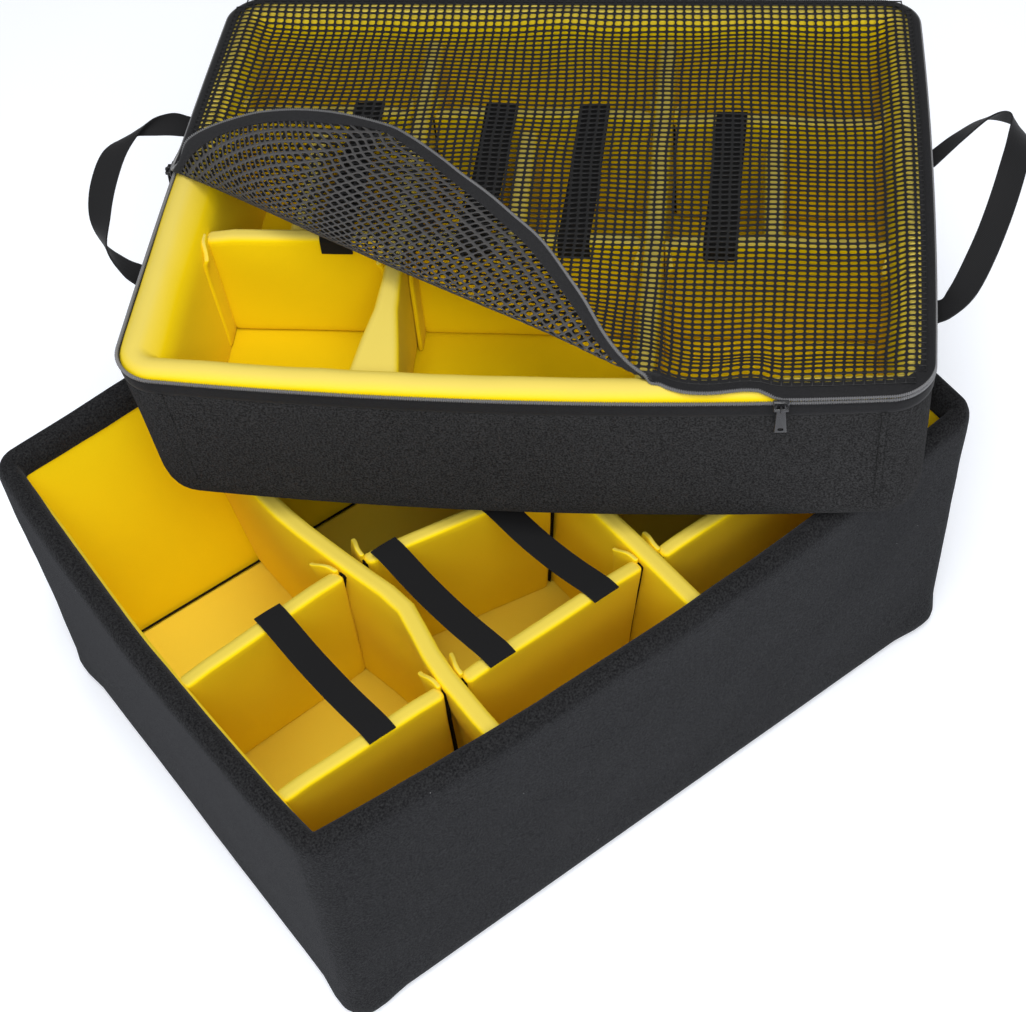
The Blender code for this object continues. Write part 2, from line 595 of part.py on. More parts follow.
def tray_dividers(tray):
    """Two cross dividers, and in each column two rows of short ones, a stub between them and straps over them."""
    floor = TRAY_FLOOR + GAP
    for number, share in enumerate(CROSS_DIVIDER_SHARES, 1):
        length = TRAY_INNER_WIDTH - 2 * FIT_CLEARANCE
        panel = padded_panel(length, LONG_DIVIDER_THICKNESS, floor, TRAY_DIVIDER_TOP, TRAY_LEVELS)
        place = Matrix.Translation((row_place(TRAY_INNER_LENGTH, share), 0, 0)) @ Matrix.Rotation(math.pi / 2, 4, "Z")
        move_points(panel, lambda point, place=place: tray_shape_across(place @ point))
        add_piece("tray_cross_divider_" + str(number), panel, YELLOW_CLOTH, tray)

    columns = bay_limits(TRAY_INNER_LENGTH, CROSS_DIVIDER_SHARES, LONG_DIVIDER_THICKNESS)
    rows = {"front": row_place(TRAY_INNER_WIDTH, TRAY_FRONT_ROW_SHARE),
            "rear": row_place(TRAY_INNER_WIDTH, TRAY_REAR_ROW_SHARE)}
    top = TRAY_DIVIDER_TOP - SHORT_DIVIDER_DROP
    for column, (low, high) in zip(("left", "middle", "right"), columns):
        for row, v in rows.items():
            length = high - low - 2 * FIT_CLEARANCE
            flap_side = -1 if row == "front" else 1
            pad = short_divider(length, SHORT_DIVIDER_THICKNESS, floor, top, flap_side)
            piece = add_piece("tray_" + column + "_" + row + "_divider", pad, YELLOW_CLOTH, tray)
            piece.location = ((low + high) / 2, v, 0)
        length = rows["rear"] - rows["front"] - SHORT_DIVIDER_THICKNESS - 2 * GAP
        stub = padded_panel(length, SHORT_DIVIDER_THICKNESS, floor, STUB_HEIGHT, ())
        move_points(stub, lambda point: Matrix.Rotation(math.pi / 2, 4, "Z") @ point)
        piece = add_piece("tray_" + column + "_stub", stub, YELLOW_CLOTH, tray)
        piece.location = (low + STUB_SHARES[column] * (high - low), (rows["front"] + rows["rear"]) / 2, 0)
        for number, share in enumerate(TRAY_STRAP_SHARES[column], 1):
            u = low + share * (high - low)
            front = rows["front"] - SHORT_DIVIDER_THICKNESS / 2 - GAP - STRAP_THICKNESS / 2
            rear = rows["rear"] + SHORT_DIVIDER_THICKNESS / 2
            name = "tray_" + column + "_strap" + ("_" + str(number) if column == "middle" else "")
            height = top + GAP + STRAP_THICKNESS / 2
            strap = ribbon(*sagging_path(u, front, rear, height, TRAY_STRAP_SAG, SHORT_DIVIDER_THICKNESS,
                                         TRAY_STRAP_TURN_DOWN), STRAP_THICKNESS, STRAP_WIDTH)
            add_piece(name, strap, WEBBING, tray)


def coil_points(inset, height):
    """The points of a coil's section that lie outside its tape, from the tape's outer side round to its inner."""
    start = math.radians(240)
    sweep = math.radians(300)
    turns = [start - sweep * step / COIL_STEPS for step in range(COIL_STEPS + 1)]
    return [(inset + COIL_RADIUS * math.cos(turn), height + COIL_RADIUS * math.sin(turn)) for turn in turns]


def crease_frame():
    """The crease of the lid's turned-back corner: a point on it, its direction and the way to the corner."""
    left = Vector((-TRAY_LENGTH / 2, row_place(TRAY_WIDTH, CREASE_SIDE_SHARE), CREASE_W))
    front = Vector((row_place(TRAY_LENGTH, CREASE_FRONT_SHARE), -TRAY_WIDTH / 2, CREASE_W))
    along = (front - left).normalized()
    outward = Vector((along.y, -along.x, 0))
    if outward.dot(Vector((-1, -1, 0))) < 0:
        outward = -outward
    return left, along, outward


def corner_block(margin):
    """A block that covers everything on the corner's side of the crease, short of it by a margin."""
    point, along, outward = crease_frame()
    reach = CUTTER_SCALE * TRAY_LENGTH
    corners = []
    for a, b in ((-reach, margin), (reach, margin), (reach, reach), (-reach, reach)):
        corners.append((point + along * a + outward * b).xy)
    return plate(corners, -TRAY_HEIGHT, CUTTER_SCALE * TRAY_HEIGHT)


def fold_back(bm):
    """Turns the lid's corner back about its crease, from closed to its rest place above the lid."""
    point, along, _ = crease_frame()
    turn = Matrix.Rotation(-(math.pi - FLAP_TILT), 4, along)
    place = Matrix.Translation(point) @ turn @ Matrix.Translation(-point)
    return move_points(bm, lambda p: place @ p)


def lid_tape():
    """The whole lid's edge: a coil over the tray's, and the tape that runs from it up to the net."""
    slope_start = (COIL_INSET + COIL_RADIUS * math.cos(math.radians(-60)),
                   LID_COIL_HEIGHT + COIL_RADIUS * math.sin(math.radians(-60)))
    turns = [math.radians(-60 - 240 * step / COIL_STEPS) for step in range(COIL_STEPS)]
    section = [(COIL_INSET + COIL_RADIUS * math.cos(turn), LID_COIL_HEIGHT + COIL_RADIUS * math.sin(turn))
               for turn in turns]
    section += [(slope_start[0] + TAPE_THICKNESS, slope_start[1] + 2 * TAPE_THICKNESS),
                (LID_TAPE_WIDTH, LID_TAPE_HEIGHT + TAPE_THICKNESS), (LID_TAPE_WIDTH, LID_TAPE_HEIGHT)]
    rings = wall_rings(TRAY_LENGTH, TRAY_WIDTH, TRAY_CORNER_RADIUS, section)
    return move_points(loft(rings, closed=True), lid_shape)


def lid_shape(point):
    """The lid follows the tray's outline at the zip, at whatever height its own parts are."""
    return tray_shape(Vector((point.x, point.y, TRAY_HEIGHT))) + Vector((0, 0, point.z - TRAY_HEIGHT))


def net_lines(length, count):
    """The edges of the strands across a net of the given length, half a strand at each end."""
    half = NET_STRAND / 2
    cell = (length - NET_STRAND) / count
    middles = [-length / 2 + half + index * cell for index in range(1, count)]
    inner = [edge for middle in middles for edge in (middle - half, middle + half)]
    return [-length / 2, -length / 2 + half, *inner, length / 2 - half, length / 2]


def net_grid(us, vs):
    """A flat grid of strands between the given lines, with open holes."""
    bm = bmesh.new()
    levels = (LID_TAPE_HEIGHT + NET_HEM, NET_TOP - NET_HEM)
    low, high = [[[bm.verts.new((u, v, height)) for v in vs] for u in us] for height in levels]
    sides = {(-1, 0): ((0, 0), (0, 1)), (1, 0): ((1, 0), (1, 1)), (0, -1): ((0, 0), (1, 0)), (0, 1): ((0, 1), (1, 1))}

    def solid(i, j):
        return 0 <= i < len(us) - 1 and 0 <= j < len(vs) - 1 and not (i % 2 and j % 2)

    for i in range(len(us) - 1):
        for j in range(len(vs) - 1):
            if not solid(i, j):
                continue
            for grid in (low, high):
                bm.faces.new((grid[i][j], grid[i + 1][j], grid[i + 1][j + 1], grid[i][j + 1]))
            for (di, dj), (p, q) in sides.items():
                if not solid(i + di, j + dj):
                    bm.faces.new((low[i + p[0]][j + p[1]], low[i + q[0]][j + q[1]],
                                  high[i + q[0]][j + q[1]], high[i + p[0]][j + p[1]]))
    return bm


def lid_net():
    """The whole lid's net: a grid of strands cut to the tape's inner outline, and a thicker band round it."""
    size = (TRAY_LENGTH, TRAY_WIDTH, TRAY_CORNER_RADIUS)
    inset = LID_TAPE_WIDTH + GAP
    grid = net_grid(net_lines(TRAY_LENGTH - 2 * inset, NET_COLUMNS), net_lines(TRAY_WIDTH - 2 * inset, NET_ROWS))
    outline = plate(plan_loop(*size, inset + NET_STRAND / 4), LID_TAPE_HEIGHT - GAP, NET_TOP + GAP)
    inner = boolean(move_points(grid, lid_shape), move_points(outline, lid_shape), "INTERSECT")
    band = [(inset, LID_TAPE_HEIGHT), (inset, NET_TOP), (inset + NET_STRAND, NET_TOP), (inset + NET_STRAND, LID_TAPE_HEIGHT)]
    return boolean(inner, move_points(loft(wall_rings(*size, band), closed=True), lid_shape), "UNION")


def tray_zip_and_lid(tray):
    """The tray's half of the zip, and the lid's tape and net, each in a main piece and a turned-back corner."""
    section = [(0, TAPE_BASE)] + coil_points(COIL_INSET, TRAY_HEIGHT) + [(TAPE_THICKNESS, TAPE_BASE)]
    rings = wall_rings(TRAY_LENGTH, TRAY_WIDTH, TRAY_CORNER_RADIUS, section)
    add_piece("tray_zip", move_points(loft(rings, closed=True), tray_shape), TAPE, tray)
    half = CREASE_CLEARANCE / 2
    for name, make, finish in (("tape", lid_tape, TAPE), ("net", lid_net, NET)):
        main = boolean(make(), corner_block(-half), "DIFFERENCE")
        add_piece("lid_" + name, main, finish, tray)
        corner = boolean(make(), corner_block(half), "INTERSECT")
        add_piece("lid_corner_" + name, fold_back(corner), finish, tray)


def side_frame(side, share, height):
    """The tray's outer face at a share along its front, left or right wall: a point, the way along it and outwards."""
    step = TRAY_CORNER_RADIUS / 2
    points = []
    for shift in (-step, step, 0):
        if side == "front":
            flat = Vector((row_place(TRAY_LENGTH, share) + shift, -TRAY_WIDTH / 2, height))
        else:
            flat = Vector((-TRAY_LENGTH / 2 if side == "left" else TRAY_LENGTH / 2,
                           row_place(TRAY_WIDTH, share) + shift, height))
        points.append(tray_shape(flat))
    up = Vector((0, 0, 1))
    outward = (points[1] - points[0]).cross(up).normalized()
    if outward.dot(points[2]) < 0:
        outward = -outward
    return points[2], outward.cross(up), outward


def frame_matrix(origin, along, outward):
    """A matrix with X along a wall, Y out of it and Z up."""
    up = Vector((0, 0, 1))
    matrix = Matrix((along, outward, up)).transposed().to_4x4()
    matrix.translation = origin
    return matrix


def cylinder_along_x(radius, half_length, y, z):
    """A round bar along X."""
    ring = [(y + radius * math.cos(2 * math.pi * step / ROUND_STEPS), z + radius * math.sin(
        2 * math.pi * step / ROUND_STEPS)) for step in range(ROUND_STEPS)]
    return loft([[Vector((x, a, b)) for a, b in ring] for x in (-half_length, half_length)], closed=False)


def slider_body():
    """A slider's outer plate over the coils, with two lugs and the pin that its pull hangs on.

    Y is out of the wall and Z up from the tray's own coil, so the lid's coil can lift away from it.
    """
    back = COIL_RADIUS - COIL_INSET + SLIDER_CLEARANCE
    front = back + SLIDER_PLATE
    half = SLIDER_LENGTH / 2
    body = block((-half, back, -SLIDER_HEIGHT / 2), (half, front, SLIDER_HEIGHT / 2))
    inner = PULL_WIDTH / 2 + PULL_PIN_CLEARANCE
    pin_y = front + SLIDER_LUG_REACH - PULL_EYE_RADIUS / 2
    for end in (-1, 1):
        low, high = sorted((end * inner, end * (inner + SLIDER_LUG)))
        lug = block((low, back + SLIDER_PLATE / 2, -SLIDER_LUG_HEIGHT / 2), (high, front + SLIDER_LUG_REACH,
                                                                            SLIDER_LUG_HEIGHT / 2))
        body = boolean(body, lug, "UNION")
    pin = cylinder_along_x(PULL_PIN_RADIUS, inner + SLIDER_LUG / 2, pin_y, 0)
    return boolean(body, pin, "UNION"), pin_y


def pull_body():
    """A pull about its pin: an eye round it and a flat tag that hangs down."""
    eye = cylinder_along_x(PULL_EYE_RADIUS, PULL_WIDTH / 2, 0, 0)
    half = PULL_THICKNESS / 2
    tag = block((-PULL_WIDTH / 2, -half, -PULL_LENGTH), (PULL_WIDTH / 2, half, 0))
    whole = boolean(eye, tag, "UNION")
    hole = cylinder_along_x(PULL_PIN_RADIUS + PULL_PIN_CLEARANCE, PULL_WIDTH, 0, 0)
    return boolean(whole, hole, "DIFFERENCE")


def sliders(tray):
    """The two sliders, where the front and the left side are unzipped from, and their pulls."""
    for side, share in (("front", FRONT_SLIDER_SHARE), ("left", LEFT_SLIDER_SHARE)):
        place = frame_matrix(*side_frame(side, share, TRAY_HEIGHT))
        body, pin_y = slider_body()
        slider = add_piece(side + "_slider", body, DARK_METAL, tray)
        slider.matrix_local = place
        pull = add_piece(side + "_pull", pull_body(), DARK_METAL, tray)
        pull.matrix_local = place @ Matrix.Translation((0, pin_y, 0))


def handles(tray):
    """A webbing loop on each end wall, turning at the top of the two tabs that are sewn there."""
    for side in ("left", "right"):
        low, high = HANDLE_ANCHOR_SHARES[side]
        ends = []
        for name, share in (("front", low), ("rear", high)):
            face, along, outward = side_frame(side, share, TAB_TOP)
            place = frame_matrix(face, along, outward)
            tab = block((-HANDLE_WIDTH / 2, GAP, -TAB_HEIGHT), (HANDLE_WIDTH / 2, GAP + STRAP_THICKNESS, 0))
            lower = side_frame(side, share, TAB_TOP - TAB_HEIGHT)[0]
            slope = (face - lower).xy.dot(outward.xy) / TAB_HEIGHT
            move_points(tab, lambda p, slope=slope: Vector((p.x, p.y + slope * p.z, p.z)))
            piece = add_piece(side + "_handle_" + name + "_tab", tab, WEBBING, tray)
            piece.matrix_local = place
            ends.append(face + outward * (GAP + STRAP_THICKNESS + HANDLE_AXIS_CLEARANCE))
        axis = ends[1] - ends[0]
        outward = axis.normalized().cross(Vector((0, 0, 1))).normalized()
        if outward.x * ends[0].x < 0:
            outward = -outward
        tilt = HANDLE_TILT[side]
        reach = outward * math.cos(tilt) + Vector((0, 0, math.sin(tilt)))
        normal = axis.cross(reach).normalized()
        shares = HANDLE_PATH_SHARES[side]
        hem = -reach * HANDLE_HEM
        path = [hem] + [axis * a + reach * HANDLE_REACH[side] * b for a, b in shares] + [axis + hem]
        widths = []
        for index in range(len(path)):
            ahead = path[min(index + 1, len(path) - 1)] - path[max(index - 1, 0)]
            widths.append(normal.cross(ahead))
        loop = add_piece(side + "_handle", ribbon(path, widths, STRAP_THICKNESS, HANDLE_WIDTH), WEBBING, tray)
        loop.location = ends[0]


def build():
    """Builds the box, and the tray in its frame on the box's rim."""
    clear_scene()
    box_base()
    box_walls()
    box_dividers()
    tray = bpy.data.objects.new("tray_frame", None)
    bpy.context.collection.objects.link(tray)
    tray.location = (TRAY_OFFSET_X, TRAY_OFFSET_Y, BOX_HEIGHT + GAP)
    tray.rotation_euler.z = TRAY_TURN
    tray_base(tray)
    tray_walls(tray)
    tray_dividers(tray)
    tray_zip_and_lid(tray)
    sliders(tray)
    handles(tray)


build()
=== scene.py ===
"""Looks for a padded divider set: a deep open box, and a zipped, net-topped tray that rests across its rim.

Everything is in metres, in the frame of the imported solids: the box stands on the floor, centred on the origin, with its
long side along X. The tray's own directions are U (its long side), V (to its back) and W (up), and each tray piece is
drawn in them and then turned into place.
"""
import logging
import math
from bisect import bisect_left
from dataclasses import dataclass, field
from enum import Enum
from typing import Callable, Optional, Sequence, Union

import bpy
from mathutils import Matrix, Vector, noise

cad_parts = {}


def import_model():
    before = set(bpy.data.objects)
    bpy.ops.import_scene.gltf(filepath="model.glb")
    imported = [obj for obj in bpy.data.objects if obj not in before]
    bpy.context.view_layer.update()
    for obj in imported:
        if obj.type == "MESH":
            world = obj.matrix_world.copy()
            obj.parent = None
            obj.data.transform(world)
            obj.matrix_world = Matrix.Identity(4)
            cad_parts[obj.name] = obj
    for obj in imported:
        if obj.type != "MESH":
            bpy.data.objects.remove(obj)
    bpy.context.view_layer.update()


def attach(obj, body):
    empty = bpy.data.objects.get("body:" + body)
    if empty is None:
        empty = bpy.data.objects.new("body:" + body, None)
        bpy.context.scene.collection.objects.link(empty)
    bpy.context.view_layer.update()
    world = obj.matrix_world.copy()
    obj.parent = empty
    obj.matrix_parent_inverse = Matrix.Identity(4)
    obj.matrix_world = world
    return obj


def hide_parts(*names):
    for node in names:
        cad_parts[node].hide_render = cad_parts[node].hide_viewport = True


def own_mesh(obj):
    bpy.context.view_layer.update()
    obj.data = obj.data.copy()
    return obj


LOG = logging.getLogger("divider_set")

Place = Callable[[int, int], Vector]
Warp = Callable[[Vector], Vector]
Colour = tuple[float, float, float]
Feed = Union[bpy.types.NodeSocket, float, tuple[float, ...]]

# The thickness of the covers' and linings' cloth, and half that of a long divider with its cloth.
CLOTH = 0.0012
DIVIDER_HALF = 0.0085
# Turns an upright board so that it lies flat, its height along X and its length along Y.
LAY_FLAT = Matrix(((0, 0, 1), (1, 0, 0), (0, 1, 0)))


# ---------------------------------------------------------------- modelling helpers


def deselect_all() -> None:
    """Deselects every object, so that an operator acts only on what is added next."""
    if bpy.context.object is not None and bpy.context.object.mode != "OBJECT":
        bpy.ops.object.mode_set(mode="OBJECT")
    bpy.ops.object.select_all(action="DESELECT")


def select_only(piece: bpy.types.Object) -> None:
    """Makes one object the only selected one and the active one."""
    deselect_all()
    piece.select_set(True)
    bpy.context.view_layer.objects.active = piece


def smoothstep(low: float, high: float, value: float) -> float:
    """A smooth rise from 0 at low to 1 at high."""
    share = min(1.0, max(0.0, (value - low) / (high - low)))
    return share * share * (3 - 2 * share)


def lerp(first: float, second: float, share: float) -> float:
    """The value a share of the way from the first to the second."""
    return first + (second - first) * share


def through(table: Sequence[tuple[float, ...]], at: float) -> list[float]:
    """A smooth line through a table's rows, read at one place.

    Args:
        table: Rows of (place, value, ...), in order of place.
        at: The place to read.

    Returns:
        The values there, with no change past either end.
    """
    at = min(max(at, table[0][0]), table[-1][0])
    spot = max(k for k in range(len(table) - 1) if k == 0 or table[k][0] <= at)
    low, high = table[spot], table[spot + 1]
    before, after = table[max(0, spot - 1)], table[min(len(table) - 1, spot + 2)]
    span = high[0] - low[0]
    t = (at - low[0]) / span
    values = []
    for column in range(1, len(low)):
        leave = (high[column] - before[column]) / (high[0] - before[0]) * span
        arrive = (after[column] - low[column]) / (after[0] - low[0]) * span
        values.append(low[column] * (1 + 2 * t) * (1 - t) ** 2 + leave * t * (1 - t) ** 2
                      + high[column] * t * t * (3 - 2 * t) - arrive * t * t * (1 - t))
    return values


def grid_sheet(name: str, columns: int, rows: int, place: Place, around: bool = False) -> bpy.types.Object:
    """Adds a grid and moves each of its points to its place.

    Args:
        name: The new object's name.
        columns: How many faces the grid has along its first way.
        rows: How many it has along its second.
        place: Gives the point for a column and a row.
        around: Whether the last column meets the first, and is welded to it.

    Returns:
        The sheet, at the origin.
    """
    deselect_all()
    bpy.ops.mesh.primitive_grid_add(x_subdivisions=columns, y_subdivisions=rows, size=2)
    sheet = bpy.context.object
    sheet.name = name
    for vert in sheet.data.vertices:
        column = round((vert.co.x + 1) / 2 * columns)
        row = round((vert.co.y + 1) / 2 * rows)
        vert.co = place(column % columns if around else column, row)
    if around:
        weld(sheet)
    return sheet


def weld(piece: bpy.types.Object, distance: float = 0.00002) -> None:
    """Merges the points of a piece that lie together."""
    select_only(piece)
    bpy.ops.object.mode_set(mode="EDIT")
    bpy.ops.mesh.select_all(action="SELECT")
    bpy.ops.mesh.remove_doubles(threshold=distance)
    bpy.ops.object.mode_set(mode="OBJECT")


def face_outwards(piece: bpy.types.Object) -> None:
    """Turns a closed piece's faces outwards."""
    select_only(piece)
    bpy.ops.object.mode_set(mode="EDIT")
    bpy.ops.mesh.select_all(action="SELECT")
    bpy.ops.mesh.normals_make_consistent(inside=False)
    bpy.ops.object.mode_set(mode="OBJECT")


def apply_modifier(piece: bpy.types.Object, kind: str, **settings: object) -> None:
    """Adds a modifier with the given settings and applies it."""
    select_only(piece)
    modifier = piece.modifiers.new(kind.lower(), kind)
    for setting, value in settings.items():
        setattr(modifier, setting, value)
    bpy.ops.object.modifier_apply(modifier=modifier.name)


def thicken(piece: bpy.types.Object, thickness: float, offset: float = 0.0) -> None:
    """Gives a sheet its thickness, about its middle or to one side, and turns its faces outwards."""
    apply_modifier(piece, "SOLIDIFY", thickness=thickness, offset=offset)
    face_outwards(piece)


def smooth(piece: bpy.types.Object, degrees: float = 40.0) -> None:
    """Shades a piece smooth except across its sharp edges."""
    select_only(piece)
    bpy.ops.object.shade_smooth_by_angle(angle=math.radians(degrees))


def soften(piece: bpy.types.Object, warp: Optional[Warp] = None) -> bpy.types.Object:
    """Passes a closed soft piece through a function, if one is given, and shades it smooth."""
    if warp is not None:
        move_mesh(piece, warp)
    face_outwards(piece)
    smooth(piece, 60)
    return piece


def sew(sheet: bpy.types.Object, offset: float = 0.0, thickness: float = CLOTH) -> bpy.types.Object:
    """Makes cloth of a sheet: gives it its thickness and shades it smooth."""
    thicken(sheet, thickness, offset)
    smooth(sheet, 60)
    return sheet


def join(name: str, pieces: Sequence[bpy.types.Object]) -> bpy.types.Object:
    """Joins pieces into the first one and names it."""
    deselect_all()
    for piece in pieces:
        piece.select_set(True)
    bpy.context.view_layer.objects.active = pieces[0]
    bpy.ops.object.join()
    pieces[0].name = name
    return pieces[0]


def move_mesh(piece: bpy.types.Object, warp: Warp) -> bpy.types.Object:
    """Passes every point of a piece through a function."""
    for vert in piece.data.vertices:
        vert.co = warp(vert.co.copy())
    piece.data.update()
    return piece


def wander(point: Vector, size: float, seed: float = 0.0) -> float:
    """A soft unevenness between about -1 and 1, with lumps of the given size in metres."""
    return noise.noise(point / size + Vector((seed, 2.3 * seed, -1.7 * seed)))


def smooth_path(points: Sequence[Vector], per_span: int) -> list[Vector]:
    """A smooth open path through the given points."""
    ends = [2 * points[0] - points[1], *points, 2 * points[-1] - points[-2]]
    path = []
    for index in range(1, len(ends) - 2):
        a, b, c, d = ends[index - 1:index + 3]
        for step in range(per_span):
            t = step / per_span
            path.append(0.5 * (2 * b + (c - a) * t + (2 * a - 5 * b + 4 * c - d) * t ** 2
                               + (3 * b - a - 3 * c + d) * t ** 3))
    return path + [points[-1].copy()]


def metric_uv(piece: bpy.types.Object, lengths: Sequence[float], widths: Sequence[float],
              columns: int, rows: int) -> None:
    """Gives a grid sheet, before it is thickened, a UV map in metres along its columns and across its rows."""
    layer = piece.data.uv_layers[0]
    layer.name = "along_across"
    for entry in layer.data:
        column = round(entry.uv.x * columns)
        row = round(entry.uv.y * rows)
        entry.uv = (lengths[column], widths[row])


def ribbon(name: str, path: Sequence[Vector], across: Sequence[Vector], width: float, thickness: float,
           crown: float = 0.0) -> bpy.types.Object:
    """A flat woven band along a path.

    Args:
        name: The band's name.
        path: The points of its centre line.
        across: The way across it at each point.
        width: Its width.
        thickness: Its thickness.
        crown: How far its middle stands above its edges.

    Returns:
        The band, with a UV map in metres along and across it.
    """
    rows = 6
    columns = len(path) - 1
    lengths = [0.0]
    for first, second in zip(path, path[1:]):
        lengths.append(lengths[-1] + (second - first).length)

    def place(column: int, row: int) -> Vector:
        """The point for a column along the band and a row across it."""
        share = row / rows - 0.5
        way = across[column].normalized()
        ahead = path[min(column + 1, columns)] - path[max(column - 1, 0)]
        lift = way.cross(ahead).normalized() * crown * (1 - 4 * share * share)
        return path[column] + way * width * share + lift

    band = grid_sheet(name, columns, rows, place)
    metric_uv(band, lengths, [(row / rows - 0.5) * width for row in range(rows + 1)], columns, rows)
    thicken(band, thickness)
    smooth(band, 50)
    return band


def plan_loop(length: float, width: float, radius: float, inset: float, straight: int, corner: int) -> list[Vector]:
    """Stations round a rounded rectangle, drawn in by an inset. A station keeps its number at any inset."""
    half_x, half_y = length / 2 - inset, width / 2 - inset
    bend = max(radius - inset, 0.002)
    arcs = []
    for side_x, side_y, start in ((1, 1, 0), (-1, 1, 90), (-1, -1, 180), (1, -1, 270)):
        centre = Vector((side_x * (half_x - bend), side_y * (half_y - bend), 0))
        turns = [math.radians(start + 90 * step / corner) for step in range(corner + 1)]
        arcs.append([centre + bend * Vector((math.cos(turn), math.sin(turn), 0)) for turn in turns])
    points = []
    for index, arc in enumerate(arcs):
        points += arc
        following = arcs[(index + 1) % 4][0]
        steps = round(straight * (width / length)) if index % 2 else straight
        points += [arc[-1].lerp(following, step / steps) for step in range(1, steps)]
    return points


def swept_wall(name: str, size: tuple[float, float, float], section: Sequence[tuple[float, float]], warp: Warp,
               straight: int = 56, corner: int = 8, closed: bool = False) -> bpy.types.Object:
    """A sheet or closed ring swept round a rounded rectangle.

    Args:
        name: The piece's name.
        size: The plan's length, width and corner radius.
        section: The (inset, height) points of the section.
        warp: Takes each plain point to its real place.
        straight: How many steps a long side has.
        corner: How many steps a corner has.
        closed: Whether the section's end meets its start.

    Returns:
        The sheet, welded where it meets itself.
    """
    profile = list(section) + ([section[0]] if closed else [])
    plans = {inset: plan_loop(*size, inset, straight, corner) for inset, _ in profile}
    count = len(plans[profile[0][0]])

    def place(column: int, row: int) -> Vector:
        """The point for a station round the plan and a point of the section."""
        inset, height = profile[row]
        flat = plans[inset][column]
        return warp(Vector((flat.x, flat.y, height)))

    return grid_sheet(name, count, len(profile) - 1, place, around=True)


def plate(name: str, plan: tuple[float, float, float], inset: float, height: float, thickness: float, warp: Warp,
          cuts: tuple[int, int] = (16, 12)) -> bpy.types.Object:
    """A flat sheet that lies inside a plan.

    Args:
        name: The sheet's name.
        plan: The plan's length, width and corner radius.
        inset: How far the sheet's edge lies inside the plan's.
        height: The height of its middle.
        thickness: Its thickness.
        warp: Takes each plain point to its real place.
        cuts: How many faces it has each way.

    Returns:
        The sheet.
    """
    def place(column: int, row: int) -> Vector:
        """The point for a column and a row."""
        x = lerp(-1, 1, column / cuts[0]) * (plan[0] / 2 - inset)
        y = lerp(-1, 1, row / cuts[1]) * (plan[1] / 2 - inset)
        return warp(Vector((x, y, height)))

    sheet = grid_sheet(name, *cuts, place)
    thicken(sheet, thickness)
    smooth(sheet)
    return sheet


def padded_board(name: str, size: tuple[float, float, float], cuts: int = 15, plump: float = 0.10,
                 edge: Optional[float] = None) -> bpy.types.Object:
    """A padded board with round edges and full faces, from a cube that is cut up and pressed soft.

    Args:
        name: The board's name.
        size: Its length along X, thickness along Y and height along Z, all about the origin.
        cuts: How many times each side of the cube is cut.
        plump: How much fuller its middle is than its edges, as a share of its thickness.
        edge: The radius of its edges, or half its thickness.

    Returns:
        The board.
    """
    deselect_all()
    bpy.ops.mesh.primitive_cube_add(size=2)
    board = bpy.context.object
    board.name = name
    bpy.ops.object.mode_set(mode="EDIT")
    bpy.ops.mesh.select_all(action="SELECT")
    bpy.ops.mesh.subdivide(number_cuts=cuts)
    bpy.ops.object.mode_set(mode="OBJECT")
    half = Vector(size) / 2
    radius = min(edge or half.y, half.y)

    def stretch(value: float, reach: float) -> float:
        """Gathers a quarter of the cuts into each round edge."""
        side = math.copysign(1, value)
        share = abs(value)
        if reach <= radius * 1.001:
            return value * reach
        core = reach - radius
        return side * (share / 0.6 * core if share < 0.6 else core + (share - 0.6) / 0.4 * radius)

    for vert in board.data.vertices:
        point = Vector((stretch(vert.co.x, half.x), stretch(vert.co.y, half.y), stretch(vert.co.z, half.z)))
        core = Vector((max(-half.x + radius, min(half.x - radius, point.x)),
                       max(-half.y + radius, min(half.y - radius, point.y)),
                       max(-half.z + radius, min(half.z - radius, point.z))))
        away = point - core
        if away.length > 1e-9:
            largest = max(abs(away.x), abs(away.y), abs(away.z))
            point = core + away.normalized() * largest
        fill = (1 - (point.x / half.x) ** 4) * (1 - (point.z / half.z) ** 4)
        point.y *= 1 + plump * fill
        vert.co = point
    return board


# ---------------------------------------------------------------- finishes


def add_node(tree: bpy.types.NodeTree, kind: str, **settings: object) -> bpy.types.Node:
    """Adds a node with the given settings, where a setting that names an input sets its value."""
    node = tree.nodes.new(kind)
    for setting, value in settings.items():
        if setting in node.inputs.keys():
            node.inputs[setting].default_value = value
        else:
            setattr(node, setting, value)
    return node


def feed(tree: bpy.types.NodeTree, node: bpy.types.Node, feeds: dict[Union[int, str], Feed]) -> bpy.types.Node:
    """Links a socket to each named or numbered input of a node, or sets the input's value."""
    for key, value in feeds.items():
        if isinstance(value, bpy.types.NodeSocket):
            tree.links.new(value, node.inputs[key])
        else:
            node.inputs[key].default_value = value
    return node


def calculate(tree: bpy.types.NodeTree, operation: str, *values: Feed) -> bpy.types.NodeSocket:
    """The result of a Math node that is fed with sockets or numbers, in the order of its inputs."""
    node = add_node(tree, "ShaderNodeMath", operation=operation)
    return feed(tree, node, dict(enumerate(values))).outputs[0]


def mix_colours(tree: bpy.types.NodeTree, share: Feed, first: Feed, second: Feed) -> bpy.types.NodeSocket:
    """The mix of two colours."""
    node = add_node(tree, "ShaderNodeMix", data_type="RGBA")
    return feed(tree, node, {"Factor": share, 6: first, 7: second}).outputs[2]


